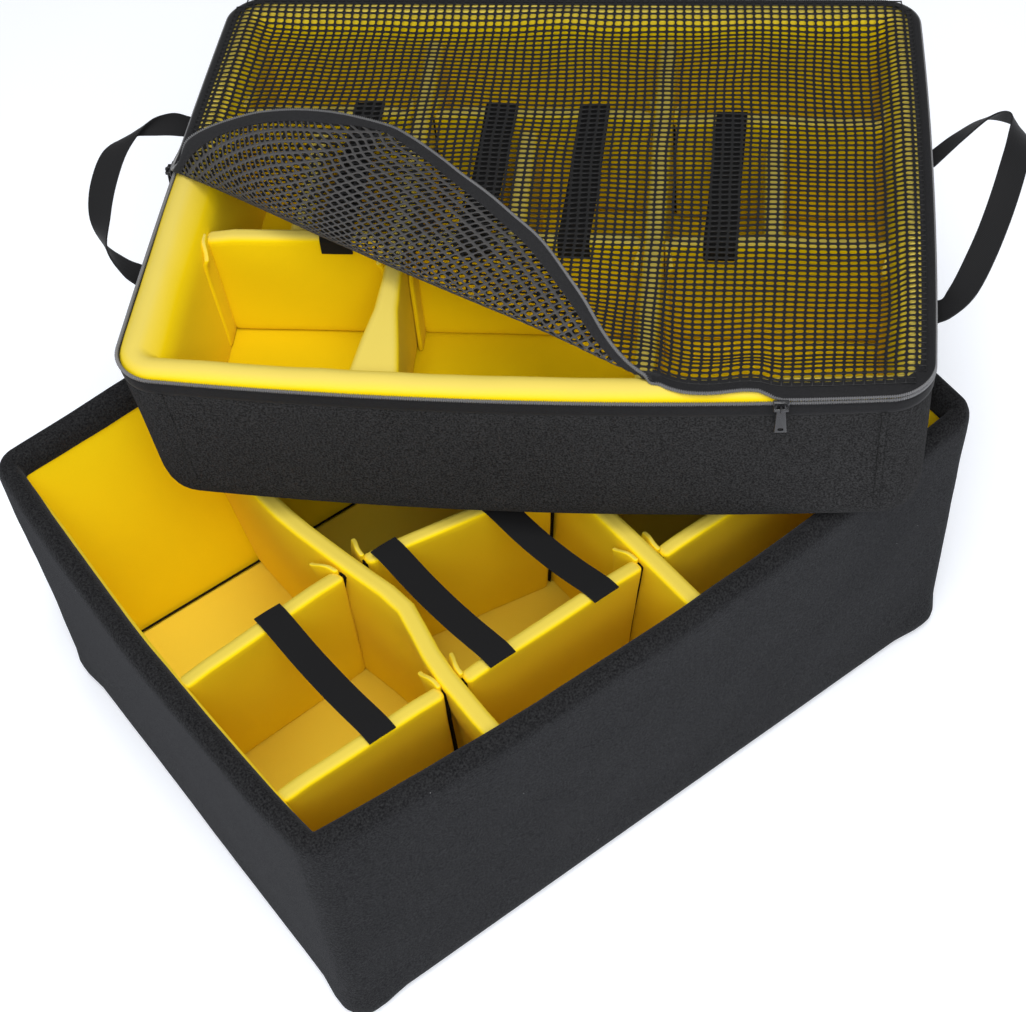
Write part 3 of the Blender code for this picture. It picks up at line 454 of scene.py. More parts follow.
def map_range(tree: bpy.types.NodeTree, value: Feed, start: tuple[float, float] = (0.0, 1.0),
              end: tuple[float, float] = (0.0, 1.0)) -> bpy.types.NodeSocket:
    """A value taken from one range to another, and held within it."""
    node = add_node(tree, "ShaderNodeMapRange")
    return feed(tree, node, {"Value": value, "From Min": start[0], "From Max": start[1], "To Min": end[0],
                             "To Max": end[1]}).outputs["Result"]


def bumps(tree: bpy.types.NodeTree, height: Feed, strength: float, distance: float) -> bpy.types.NodeSocket:
    """The normal that a height gives."""
    node = add_node(tree, "ShaderNodeBump", Strength=strength, Distance=distance)
    return feed(tree, node, {"Height": height}).outputs["Normal"]


def new_material(name: str, group: str = "", make: Optional[Callable[[], bpy.types.NodeTree]] = None,
                 feeds: Optional[dict[Union[int, str], Feed]] = None) -> tuple[bpy.types.Material, bpy.types.Node,
                                                                               Optional[bpy.types.Node]]:
    """Starts a material.

    Args:
        name: The material's name.
        group: The name of the node group that it uses, if any.
        make: Makes that group when it is first asked for.
        feeds: The values of the group's inputs.

    Returns:
        The material, its shader, and the group's node.
    """
    made = bpy.data.materials.new(name)
    made.use_nodes = True
    tree = made.node_tree
    pattern = None
    if make is not None:
        pattern = add_node(tree, "ShaderNodeGroup")
        pattern.node_tree = bpy.data.node_groups.get(group) or make()
        feed(tree, pattern, feeds or {})
    return made, tree.nodes["Principled BSDF"], pattern


def group_tree(name: str, inputs: Sequence[tuple[str, str, object]],
               outputs: Sequence[tuple[str, str]]) -> tuple[bpy.types.NodeTree, bpy.types.Node, bpy.types.Node]:
    """Starts a shader node group with named inputs and outputs."""
    tree = bpy.data.node_groups.new(name, "ShaderNodeTree")
    for label, kind, value in inputs:
        socket = tree.interface.new_socket(name=label, in_out="INPUT", socket_type="NodeSocket" + kind)
        if value is not None:
            socket.default_value = value
    for label, kind in outputs:
        tree.interface.new_socket(name=label, in_out="OUTPUT", socket_type="NodeSocket" + kind)
    return tree, tree.nodes.new("NodeGroupInput"), tree.nodes.new("NodeGroupOutput")


def cloth_group() -> bpy.types.NodeTree:
    """Brushed cloth: a fine nap over soft mottling, with now and then a fleck of lint, and painted top light: faces
    that look up are mixed towards the Top colour, which stands in for the white light from above falling on them.
    """
    tree, start, end = group_tree("brushed_cloth", [
        ("Colour", "Color", (0.8, 0.8, 0.8, 1)), ("Shade", "Color", (0.5, 0.5, 0.5, 1)),
        ("Fleck", "Color", (0.9, 0.9, 0.9, 1)), ("Top", "Color", (0.8, 0.8, 0.8, 1)), ("Painted Top Light Amount", "Float", 0.0),
        ("Nap Scale", "Float", 900.0), ("Mottle Scale", "Float", 9.0),
        ("Nap", "Float", 0.4), ("Mottle", "Float", 0.3), ("Fleck Amount", "Float", 0.0)],
        [("Colour", "Color"), ("Height", "Float"), ("Roughness Mask", "Float")])
    given = start.outputs
    where = add_node(tree, "ShaderNodeTexCoord").outputs["Object"]
    nap = feed(tree, add_node(tree, "ShaderNodeTexNoise", Detail=3.0, Roughness=0.7),
               {"Vector": where, "Scale": given["Nap Scale"]}).outputs["Fac"]
    lumps = feed(tree, add_node(tree, "ShaderNodeTexNoise", Detail=2.0, Roughness=0.5),
                 {"Vector": where, "Scale": given["Mottle Scale"]}).outputs["Fac"]
    lint = feed(tree, add_node(tree, "ShaderNodeTexVoronoi", Scale=150.0), {"Vector": where}).outputs
    fine = calculate(tree, "MULTIPLY_ADD", map_range(tree, nap, (0.36, 0.64)), given["Nap"], 0.0)
    coarse = calculate(tree, "MULTIPLY_ADD", lumps, given["Mottle"], fine)
    shade = mix_colours(tree, coarse, given["Colour"], given["Shade"])
    picked = feed(tree, add_node(tree, "ShaderNodeSeparateColor"), {0: lint["Color"]}).outputs[0]
    fleck = calculate(tree, "MULTIPLY", calculate(tree, "LESS_THAN", lint["Distance"], 0.05),
                      calculate(tree, "LESS_THAN", picked, given["Fleck Amount"]))
    # Painted top light: the more a face looks up, the more it takes the Top colour.
    facing = add_node(tree, "ShaderNodeNewGeometry").outputs["Normal"]
    upright = feed(tree, add_node(tree, "ShaderNodeSeparateXYZ"), {0: facing}).outputs["Z"]
    painted_top_share = calculate(tree, "MULTIPLY", map_range(tree, upright, (0.45, 0.95)), given["Painted Top Light Amount"])
    with_painted_top_light = mix_colours(tree, painted_top_share, shade, given["Top"])
    feed(tree, end, {"Colour": mix_colours(tree, fleck, with_painted_top_light, given["Fleck"]), "Height": nap,
                     "Roughness Mask": lumps})
    return tree


def woven_group() -> bpy.types.NodeTree:
    """Woven band: fine picks across it and warp ribs along it, from a UV map in metres."""
    tree, start, end = group_tree("woven_band", [
        ("Colour", "Color", (0.02, 0.02, 0.02, 1)), ("Shade", "Color", (0.01, 0.01, 0.01, 1)),
        ("Pick Pitch", "Float", 0.0012), ("Rib Pitch", "Float", 0.0016)],
        [("Colour", "Color"), ("Height", "Float")])
    given = start.outputs
    where = add_node(tree, "ShaderNodeUVMap", uv_map="along_across").outputs["UV"]
    split = feed(tree, add_node(tree, "ShaderNodeSeparateXYZ"), {0: where}).outputs
    waves = []
    for axis, pitch in ((0, "Pick Pitch"), (1, "Rib Pitch")):
        turns = calculate(tree, "DIVIDE", split[axis], given[pitch])
        waves.append(calculate(tree, "SINE", calculate(tree, "MULTIPLY", turns, 2 * math.pi)))
    height = calculate(tree, "MULTIPLY_ADD", calculate(tree, "MULTIPLY", *waves), 0.5, 0.5)
    feed(tree, end, {"Colour": mix_colours(tree, height, given["Shade"], given["Colour"]), "Height": height})
    return tree


@dataclass(frozen=True)
class Cloth:
    """A brushed cloth's finish."""

    name: str
    colour: Colour
    shade: Colour
    roughness: float = 0.85
    sheen: float = 0.2
    sheen_tint: Colour = (1.0, 1.0, 1.0)
    sheen_roughness: float = 0.4
    nap_scale: float = 900.0
    nap: float = 0.35
    mottle_scale: float = 9.0
    mottle: float = 0.25
    fleck_amount: float = 0.0
    bump: float = 0.25
    bump_distance: float = 0.0004
    specular: float = 0.2
    # Painted top light: the colour that faces looking up are mixed towards, and how far, for the light from above.
    top: Colour = (0.9, 0.9, 0.9)
    painted_top_light_amount: float = 0.0

    def build(self) -> bpy.types.Material:
        """Makes the material."""
        made, shader, cloth = new_material(self.name, "brushed_cloth", cloth_group, {
            "Colour": (*self.colour, 1), "Shade": (*self.shade, 1), "Fleck": (0.5, 0.5, 0.5, 1),
            "Top": (*self.top, 1), "Painted Top Light Amount": self.painted_top_light_amount, "Nap Scale": self.nap_scale,
            "Mottle Scale": self.mottle_scale, "Nap": self.nap, "Mottle": self.mottle,
            "Fleck Amount": self.fleck_amount})
        tree, out = made.node_tree, cloth.outputs
        feed(tree, shader, {
            "Base Color": out["Colour"],
            "Normal": bumps(tree, out["Height"], self.bump, self.bump_distance),
            "Roughness": map_range(tree, out["Roughness Mask"],
                                   end=(self.roughness - 0.08, min(1.0, self.roughness + 0.08))),
            "Sheen Weight": self.sheen, "Sheen Roughness": self.sheen_roughness,
            "Sheen Tint": (*self.sheen_tint, 1), "Specular IOR Level": self.specular})
        return made


@dataclass(frozen=True)
class Woven:
    """A woven band's finish, for webbing and zip tape."""

    name: str
    colour: Colour
    shade: Colour
    roughness: float = 0.6
    pick_pitch: float = 0.0016
    rib_pitch: float = 0.0022
    bump: float = 0.5
    sheen: float = 0.12
    specular: float = 0.25

    def build(self) -> bpy.types.Material:
        """Makes the material."""
        made, shader, weave = new_material(self.name, "woven_band", woven_group, {
            "Colour": (*self.colour, 1), "Shade": (*self.shade, 1), "Pick Pitch": self.pick_pitch,
            "Rib Pitch": self.rib_pitch})
        tree, out = made.node_tree, weave.outputs
        feed(tree, shader, {
            "Base Color": out["Colour"], "Normal": bumps(tree, out["Height"], self.bump, 0.0003),
            "Roughness": self.roughness, "Sheen Weight": self.sheen, "Specular IOR Level": self.specular})
        return made


@dataclass(frozen=True)
class Hard:
    """A plain hard finish with a little unevenness, for the coil, the net's coating, metal and board."""

    name: str
    colour: Colour
    roughness: float
    metallic: float = 0.0
    scale: float = 400.0
    variation: float = 0.3
    bump: float = 0.1
    specular: float = 0.5

    def build(self) -> bpy.types.Material:
        """Makes the material."""
        made, shader, _ = new_material(self.name)
        tree = made.node_tree
        where = add_node(tree, "ShaderNodeTexCoord").outputs["Object"]
        uneven = feed(tree, add_node(tree, "ShaderNodeTexNoise", Scale=self.scale, Detail=3.0),
                      {"Vector": where}).outputs["Fac"]
        darker = tuple(channel * (1 - self.variation) for channel in self.colour)
        feed(tree, shader, {
            "Base Color": mix_colours(tree, uneven, (*self.colour, 1), (*darker, 1)),
            "Roughness": map_range(tree, uneven, end=(max(0.05, self.roughness - 0.1),
                                                      min(1.0, self.roughness + 0.1))),
            "Normal": bumps(tree, uneven, self.bump, 0.0002),
            "Metallic": self.metallic, "Specular IOR Level": self.specular})
        return made


# What the cloths of one kind share: the covers' felt, the linings' and pads' loop cloth, and the zip's tape.
FELT = {"roughness": 0.95, "sheen_roughness": 0.42, "nap": 0.85, "mottle_scale": 14.0, "bump": 0.8,
        "bump_distance": 0.0009, "specular": 0.0}
LOOP = {"roughness": 0.9, "sheen_roughness": 0.5, "mottle": 0.35, "bump": 0.2, "bump_distance": 0.0003,
        "specular": 0.06}
LINING = {**LOOP, "sheen_tint": (1.0, 0.93, 0.62), "nap_scale": 1100.0, "nap": 0.35, "mottle_scale": 11.0}
PAD = {**LOOP, "sheen_tint": (1.0, 0.93, 0.70), "nap_scale": 1000.0, "nap": 0.4, "mottle_scale": 9.0}
ZIP = {"sheen": 0.06, "nap_scale": 1500.0, "nap": 0.9, "mottle": 0.1, "bump": 0.5, "specular": 0.15}


class Finish(Enum):
    """Every finish of the set."""

    BLACK = Cloth("black_brushed_cloth", (0.0265, 0.0269, 0.0280), (0.0050, 0.0050, 0.0055), sheen=0.07,
                  sheen_tint=(0.88, 0.90, 0.96), nap_scale=560.0, mottle=0.14, fleck_amount=0.012, **FELT)
    TRAY_BLACK = Cloth("black_tray_cloth", (0.0400, 0.0400, 0.0410), (0.006, 0.006, 0.006), sheen=0.03,
                       sheen_tint=(0.94, 0.94, 0.96), nap_scale=620.0, mottle=0.12, fleck_amount=0.006, **FELT)
    # Painted top light: the linings' top colour and amount give their up-facing faces a duller, less saturated yellow
    # for the light from above.
    YELLOW = Cloth("yellow_lining_cloth", (0.975, 0.735, 0.006), (0.93, 0.665, 0.004), sheen=0.03,
                   top=(0.60, 0.47, 0.075), painted_top_light_amount=0.9, **LINING)
    # Painted shade: the tray's yellow and floor cloth are darker copies of the box's, standing in for the dimmer light
    # on the tray.
    TRAY_YELLOW = Cloth("shaded_yellow_tray_cloth", (0.82, 0.61, 0.003), (0.78, 0.555, 0.002), sheen=0.02,
                        top=(0.61, 0.485, 0.098), painted_top_light_amount=0.95, **LINING)
    TRAY_FLOOR = Cloth("shaded_yellow_tray_floor_cloth", (0.68, 0.475, 0.002), (0.64, 0.44, 0.002), sheen=0.03, **PAD)
    # Painted top light: the box's floor cloth is lighter and less saturated than the walls' yellow, standing in for
    # the white light on its up-facing face.
    FLOOR_YELLOW = Cloth("top_lit_yellow_floor_cloth", (0.95, 0.735, 0.070), (0.90, 0.68, 0.055), sheen=0.08, **PAD)
    WEBBING = Woven("black_webbing", (0.010, 0.010, 0.011), (0.003, 0.003, 0.0035), roughness=0.65, sheen=0.05,
                    specular=0.2)
    STRAP = Woven("black_strap", (0.010, 0.010, 0.0105), (0.005, 0.005, 0.0055), roughness=0.9, pick_pitch=0.0011,
                  rib_pitch=0.0012, bump=0.35, sheen=0.04, specular=0.12)
    TAPE = Cloth("black_zip_tape", (0.016, 0.016, 0.0175), (0.004, 0.004, 0.0045), roughness=0.8, **ZIP)
    # Painted light: the turned-back corner's tape and net are lighter copies of the zipped lid's, standing in for the
    # light that the raised corner catches.
    FLAP_TAPE = Cloth("corner_tape_painted_light", (0.026, 0.026, 0.028), (0.006, 0.006, 0.0065), roughness=0.85, **ZIP)
    NET = Hard("black_net_coating", (0.014, 0.014, 0.0145), 0.45, scale=900.0, variation=0.4, bump=0.15,
               specular=0.16)
    # Painted light: the lighter copy of the net for the raised corner.
    FLAP_NET = Hard("corner_net_painted_light", (0.060, 0.058, 0.058), 0.6, scale=900.0, variation=0.4, bump=0.2,
                    specular=0.25)
    # Painted highlight: the black coil is given a mid grey that stands in for the glints along its loops.
    COIL = Hard("black_zip_coil_painted_glint", (0.16, 0.16, 0.165), 0.28, scale=900.0, variation=0.3)
    METAL = Hard("black_painted_metal", (0.022, 0.022, 0.024), 0.22, metallic=0.1, scale=500.0, variation=0.4)
    HOOK = Hard("black_hook_strip", (0.006, 0.006, 0.006), 0.9, scale=700.0, variation=0.5, bump=0.6, specular=0.1)
    FOAM = Hard("pale_foam", (0.72, 0.69, 0.60), 0.95, scale=350.0, variation=0.2, bump=0.6, specular=0.2)
    BOARD = Hard("grey_board", (0.20, 0.20, 0.21), 0.55, scale=60.0, variation=0.15)


class Wardrobe:
    """Makes each finish once and puts it on pieces."""

    def __init__(self) -> None:
        """Starts with nothing made."""
        self.made: dict[Finish, bpy.types.Material] = {}

    def material(self, finish: Finish) -> bpy.types.Material:
        """The finish's material, made when it is first asked for."""
        if finish not in self.made:
            self.made[finish] = finish.value.build()
        return self.made[finish]

    def dress(self, piece: bpy.types.Object, finish: Finish) -> bpy.types.Object:
        """Gives a piece the finish all over."""
        piece.data.materials.clear()
        piece.data.materials.append(self.material(finish))
        return piece


WARDROBE = Wardrobe()


def fit(piece: bpy.types.Object, finish: Finish, body: str, slot: str, *nodes: str,
        fill: Optional[float] = None) -> bpy.types.Object:
    """Dresses a finished piece and ties it to its body.

    Args:
        piece: The piece, in place.
        finish: Its finish.
        body: The body that it moves with.
        slot: Not used.
        nodes: The plain solids that it stands for.
        fill: Not used.

    Returns:
        The piece.
    """
    WARDROBE.dress(piece, finish)
    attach(piece, body)
    if nodes:
        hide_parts(*nodes)
    LOG.info("%s rides on %s", piece.name, body)
    return piece


# ---------------------------------------------------------------- the box


def bays(inner: float, dividers: tuple[float, float]) -> dict[str, tuple[float, float]]:
    """The low and high ends of the three bays that two long dividers leave between the walls."""
    first, second = dividers
    return {"left": (-inner, first - DIVIDER_HALF), "middle": (first + DIVIDER_HALF, second - DIVIDER_HALF),
            "right": (second + DIVIDER_HALF, inner)}


@dataclass
class Box:
    """The deep open box, its dividers and their straps."""

    length: float = 0.700
    width: float = 0.510
    height: float = 0.315
    corner: float = 0.020
    wall: float = 0.020
    flare: float = 0.007
    long_bow: float = 0.020
    short_bow: float = 0.013
    floor: float = 0.0168
    long_top: float = 0.297
    short_top: float = 0.295
    long_places: tuple[float, float] = (-0.165, 0.03828)
    rows: dict[str, float] = field(default_factory=lambda: {"front": -0.19505, "rear": -0.04935})
    strap_width: float = 0.0258
    side_lean: float = 0.045
    back_lean: float = 0.090
    board_inset: float = 0.024
    board_middle: float = 0.0032
    board_thickness: float = 0.003

    def __post_init__(self) -> None:
        """Works out the box's plan and how far its inner walls lie from its middle."""
        self.plan = (self.length, self.width, self.corner)
        self.inner = self.length / 2 - self.wall

    def askew(self, point: Vector, back: float) -> Vector:
        """Leans a divider: its foot lies to the right of its top, and a short one's lies behind it too."""
        drop = max(0.0, (self.short_top - point.z) / (self.short_top - self.floor))
        first = self.inner + self.long_places[0] - DIVIDER_HALF
        last = self.inner - self.long_places[1] - DIVIDER_HALF
        share = max(0.0, min(1.0, (point.x + self.inner) / first, (self.inner - point.x) / last))
        return Vector((point.x + self.side_lean * drop * share, point.y + back * drop, point.z))

    def shape(self, point: Vector) -> Vector:
        """The walls lean out to the rim and bow out between the corners."""
        rise = max(0.0, point.z) / self.height
        along, across = point.x / (self.length / 2), point.y / (self.width / 2)
        bow = rise ** 1.5
        out_x = self.flare * rise + self.short_bow * bow * max(0.0, 1 - across ** 2)
        out_y = self.flare * rise + self.long_bow * bow * max(0.0, 1 - along ** 2)
        return Vector((point.x + along * out_x, point.y + across * out_y, point.z))

    def soft_shape(self, point: Vector) -> Vector:
        """The cover's shape, with the soft unevenness of cloth over foam."""
        place = self.shape(point)
        rise = point.z / self.height
        corner_x = self.length / 2 - abs(point.x)
        corner_y = self.width / 2 - abs(point.y)
        outward = Vector((math.copysign(1, point.x) if corner_x < corner_y else 0,
                          math.copysign(1, point.y) if corner_y <= corner_x else 0, 0))
        lump = 0.0016 * wander(place, 0.11, 1.0) + 0.0006 * wander(place, 0.035, 4.0)
        from_corner = max(corner_x, corner_y)
        lobe = 0.0030 * (1 - smoothstep(0.03, 0.055, from_corner)) * (1 - smoothstep(0.018, 0.045, point.z))
        return place + outward * (lump * smoothstep(0, 0.1, rise) + lobe)

    def cover(self) -> None:
        """The black cover: up the outside, over the rim and a short way down the inside."""
        section = [(0.040, 0.0006), (0.020, 0.0006), (0.009, 0.0018), (0.0028, 0.0060), (0.0006, 0.0125),
                   (0.0, 0.020)]
        section += [(0.0, z / 1000) for z in range(40, 300, 13)]
        section += [(0.0, 0.3005), (0.0006, 0.3055), (0.0024, 0.3100), (0.0055, 0.3135), (0.0095, 0.3150),
                    (0.0135, 0.3143), (0.0170, 0.3118), (0.0196, 0.3078), (0.0212, 0.3030), (0.0220, 0.2980),
                    (0.0222, 0.2915), (0.0212, 0.2908)]
        cover = sew(swept_wall("box_cover", self.plan, section, self.soft_shape), -1.0)
        fit(cover, Finish.BLACK, "box", "black_cloth", "box_side_cover", fill=0.85)

    def foam(self) -> None:
        """The foam inside the walls, which the cover and the lining hide."""
        section = [(0.026, 0.0050), (0.014, 0.0070), (0.0070, 0.0140), (0.0036, 0.0260), (0.0036, 0.2980),
                   (0.0060, 0.3060), (0.0100, 0.3095), (0.0150, 0.3060), (0.0170, 0.2980), (0.0170, 0.0100)]
        core = soften(swept_wall("box_foam_core", self.plan, section, self.soft_shape, straight=40, closed=True))
        fit(core, Finish.FOAM, "box", "foam", "box_back_foam", "box_front_foam", "box_left_foam", "box_right_foam",
            fill=0.9)

    def underside(self) -> None:
        """The black cloth under the box, with its edge tucked inside the cover's, and the stiff board on it."""
        def uneven(point: Vector) -> Vector:
            """Lets the cloth waver a little."""
            return point + Vector((0, 0, 0.0003 * wander(Vector((point.x, point.y, 0)), 0.08)))

        sheet = plate("box_underside", self.plan, 0.034, 0.0009, CLOTH, uneven, cuts=(20, 16))
        fit(sheet, Finish.BLACK, "box", "black_cloth", "box_base_cover", fill=0.9)
        board = plate("box_board", self.plan, self.board_inset, self.board_middle, self.board_thickness, self.shape)
        fit(board, Finish.BOARD, "box", "board", "box_base_board")

    def lining(self) -> None:
        """The yellow lining of the four walls, a little full between its corners."""
        inner = self.wall + 0.0004

        def full(point: Vector) -> Vector:
            """Pulls the lining in softly over the foam, and tight at its corners, top and foot."""
            along, across = point.x / (self.length / 2 - inner), point.y / (self.width / 2 - inner)
            place = self.shape(point)
            rise = (point.z - self.floor) / (self.height - self.floor)
            shape = 4 * max(0.0, rise * (1 - rise))
            side = abs(along) > abs(across)
            middle = max(0.0, 1 - (across if side else along) ** 6)
            inward = Vector((-math.copysign(1, along), 0, 0) if side else (0, -math.copysign(1, across), 0))
            swell = 0.0012 * shape * middle + 0.0016 * middle * wander(place, 0.13, 3.0) * shape ** 0.5
            if side and along < 0:
                bead = smoothstep(0.276, 0.286, point.z) * smoothstep(0.2925, 0.2890, point.z)
                swell += 0.0050 * middle * bead
            return place + inward * max(-0.0004, swell)

        section = [(inner, self.floor - 0.009), (inner, self.floor)]
        section += [(inner, z / 1000) for z in range(30, 275, 10)]
        section += [(inner, z) for z in (0.276, 0.2800, 0.2840, 0.2870, 0.2890, 0.2908, 0.2930)]
        section += [(inner - 0.0006, 0.3015)]
        lining = sew(swept_wall("box_lining", self.plan, section, full, straight=48, corner=6), 1.0)
        fit(lining, Finish.YELLOW, "box", "yellow_cloth", "box_liner", fill=0.7)

    def floor_pad(self) -> None:
        """The yellow pad on the floor, just short of the walls."""
        pad = padded_board("box_floor", (self.width - 2 * self.wall - 0.0045, 0.012,
                                         self.length - 2 * self.wall - 0.0045), cuts=20, plump=0.0, edge=0.005)

        def lay(point: Vector) -> Vector:
            """Lays the pad flat, a little uneven."""
            flat = LAY_FLAT @ point
            return flat + Vector((0, 0, self.floor - 0.006 + 0.0006 * wander(flat, 0.12)))

        # The pad's cloth is painted lighter for the light on its top.
        fit(soften(pad, lay), Finish.FLOOR_YELLOW, "box", "yellow_cloth", "box_floor_pad", fill=0.8)

    def gap_shadow_strip(self) -> None:
        """A black strip along the floor pad's back edge: painted shadow that stands in for the narrow dark gap between
        the pad and the back wall.
        """
        end, steps = self.inner - 0.004, 24
        path = [Vector((lerp(-end, end, step / steps), self.width / 2 - self.wall - 0.0030, self.floor + 0.0009))
                for step in range(steps + 1)]
        # Painted shadow: a thin black band where only the gap's shade is.
        gap = ribbon("box_floor_gap", path, [Vector((0, 1, 0))] * len(path), 0.0026, 0.0006, 0.0001)
        fit(gap, Finish.HOOK, "box", "webbing")

    def bend_first(self, point: Vector) -> Vector:
        """The first long divider is pushed towards the middle where the short ones meet it, near its top."""
        path = ((-0.30, -0.006), (-0.227, -0.006), (-0.172, -0.003), (-0.141, 0.002), (-0.114, 0.009),
                (-0.093, 0.011), (-0.055, 0.003), (-0.016, -0.004), (0.020, -0.010), (0.060, -0.015),
                (0.110, -0.016), (0.300, -0.004))

        def at(y: float) -> float:
            """The path's offset at a place, with no rounding."""
            for (a, b), (c, d) in zip(path, path[1:]):
                if a <= y <= c:
                    return lerp(b, d, (y - a) / (c - a))
            return 0.0

        offset = sum(at(point.y + step * 0.003) for step in range(-2, 3)) / 5
        height = smoothstep(0.03, self.long_top, point.z)
        return point + Vector((offset * height, 0, 0))

    def foot_first(self, point: Vector) -> Vector:
        """The first long divider's foot runs a little further left at the back than in front."""
        (offset,) = through(((-0.26, 0.010), (-0.10, 0.010), (-0.007, 0.0025), (0.06, -0.0064), (0.17, -0.0114),
                             (0.26, -0.0116)), point.y)
        return point + Vector((offset * (1 - smoothstep(0.02, 0.28, point.z)), 0, 0))

    def long_dividers(self) -> None:
        """The two long padded dividers from the front wall to the back."""
        height = self.long_top - self.floor
        for number, x in enumerate(self.long_places, 1):
            board = padded_board(f"box_long_divider_pad_{number}",
                                 (self.width - 2 * self.wall - 0.0006, 0.0168, height), cuts=31, plump=0.06,
                                 edge=0.0060)

            def stand(point: Vector, x: float = x, number: int = number) -> Vector:
                """Stands the divider across the box, out to its bowed walls."""
                along = Vector((x - point.y, point.x, point.z + self.floor + height / 2))
                bowed = self.shape(along)
                place = Vector((along.x, bowed.y, along.z))
                place.x += 0.0010 * wander(place, 0.09, number) * smoothstep(0.02, 0.1, place.z)
                place.z -= 0.0014 * (0.5 + wander(place, 0.12, 7.0 + number)) * smoothstep(0.2, 0.3, place.z)
                return self.askew(self.foot_first(self.bend_first(place)) if number == 1 else place, 0)

            fit(soften(board, stand), Finish.YELLOW, "box", "yellow_cloth", f"box_long_divider_{number}", fill=0.6)

    def edge_shift(self, y: float) -> float:
        """How far the first long divider's top stands to one side at a place along it."""
        return self.bend_first(Vector((0, y, self.long_top))).x

    def short_dividers(self) -> None:
        """The short dividers of each bay, with the flaps at their ends."""
        turns = {("middle", "rear"): -11.0, ("left", "rear"): 4.0}
        shifts = {("middle", "rear"): -0.004, ("left", "rear"): 0.008, ("left", "front"): 0.004,
                  ("middle", "front"): 0.003}
        for bay, (low, high) in bays(self.inner, self.long_places).items():
            for row, y in self.rows.items():
                turn, shift = math.radians(turns.get((bay, row), 0.0)), shifts.get((bay, row), 0.0)
                middle = Vector(((low + high) / 2, y + shift, 0))
                spin = Matrix.Rotation(turn, 3, "Z")
                reach = (high - low) / math.cos(turn) - abs(math.sin(turn)) * 0.030
                pad, hooks = short_divider(f"box_{bay}_{row}_pad", reach, 0.0150, self.floor, self.short_top, 1,
                                           seed=len(bay) + y, wall_end={"left": -1, "right": 1}.get(bay, 0))

                def stand(point: Vector, low: float = low, high: float = high, bay: str = bay) -> Vector:
                    """Stands the divider in its bay, its ends out to the walls and the bent divider."""
                    place = middle + spin @ point
                    share = (place.x - low) / (high - low)
                    rise = max(0.0, place.z) / self.height
                    bow = self.flare * rise + self.short_bow * rise ** 1.5 * (1 - (place.y / (self.width / 2)) ** 2)
                    push = self.edge_shift(place.y) * smoothstep(0.02, self.long_top, place.z)
                    place.x += {"left": push * share - bow * (1 - share), "middle": push * (1 - share),
                                "right": bow * share}[bay]
                    return self.askew(place, self.back_lean)

                body = f"box_{bay}_set" if bay != "right" else f"box_right_{row}_divider"
                fit(move_mesh(pad, stand), Finish.YELLOW, body, "yellow_cloth", f"box_{bay}_{row}_divider", fill=0.6)
                fit(move_mesh(hooks, stand), Finish.HOOK, body, "webbing")

    def straps(self) -> None:
        """The straps across the tops of the left and the middle bay's dividers."""
        plans = {
            "box_left_strap": (Vector((-0.2432, -0.1985, 0)), Vector((-0.2492, -0.0330, 0))),
            "box_middle_strap_1": (Vector((-0.1236, -0.2005, 0)), Vector((-0.1322, -0.0370, 0))),
            "box_middle_strap_2": (Vector((-0.0164, -0.2030, 0)), Vector((-0.0310, -0.0560, 0))),
        }
        top = self.short_top + 0.0020
        sags = ((0.0, -0.0008), (0.06, 0.0004), (0.12, -0.0004), (0.32, -0.0050), (0.5, -0.0066), (0.68, -0.0054),
                (0.87, -0.0006), (0.94, 0.0006), (1.0, 0.0))
        for node, (start, end) in plans.items():
            path = smooth_path([start.lerp(end, share) + Vector((0, 0, top + sag)) for share, sag in sags], 5)
            band = ribbon(node + "_band", path, [Vector((1, 0, 0))] * len(path), self.strap_width, 0.0015, 0.0004)
            body = node if node != "box_middle_strap_2" else "box_middle_set"
            fit(band, Finish.STRAP, body, "webbing", node)

    def build(self) -> None:
        """Builds all of the box."""
        for step in (self.cover, self.foam, self.underside, self.lining, self.floor_pad, self.gap_shadow_strip,
                     self.long_dividers, self.short_dividers, self.straps):
            step()


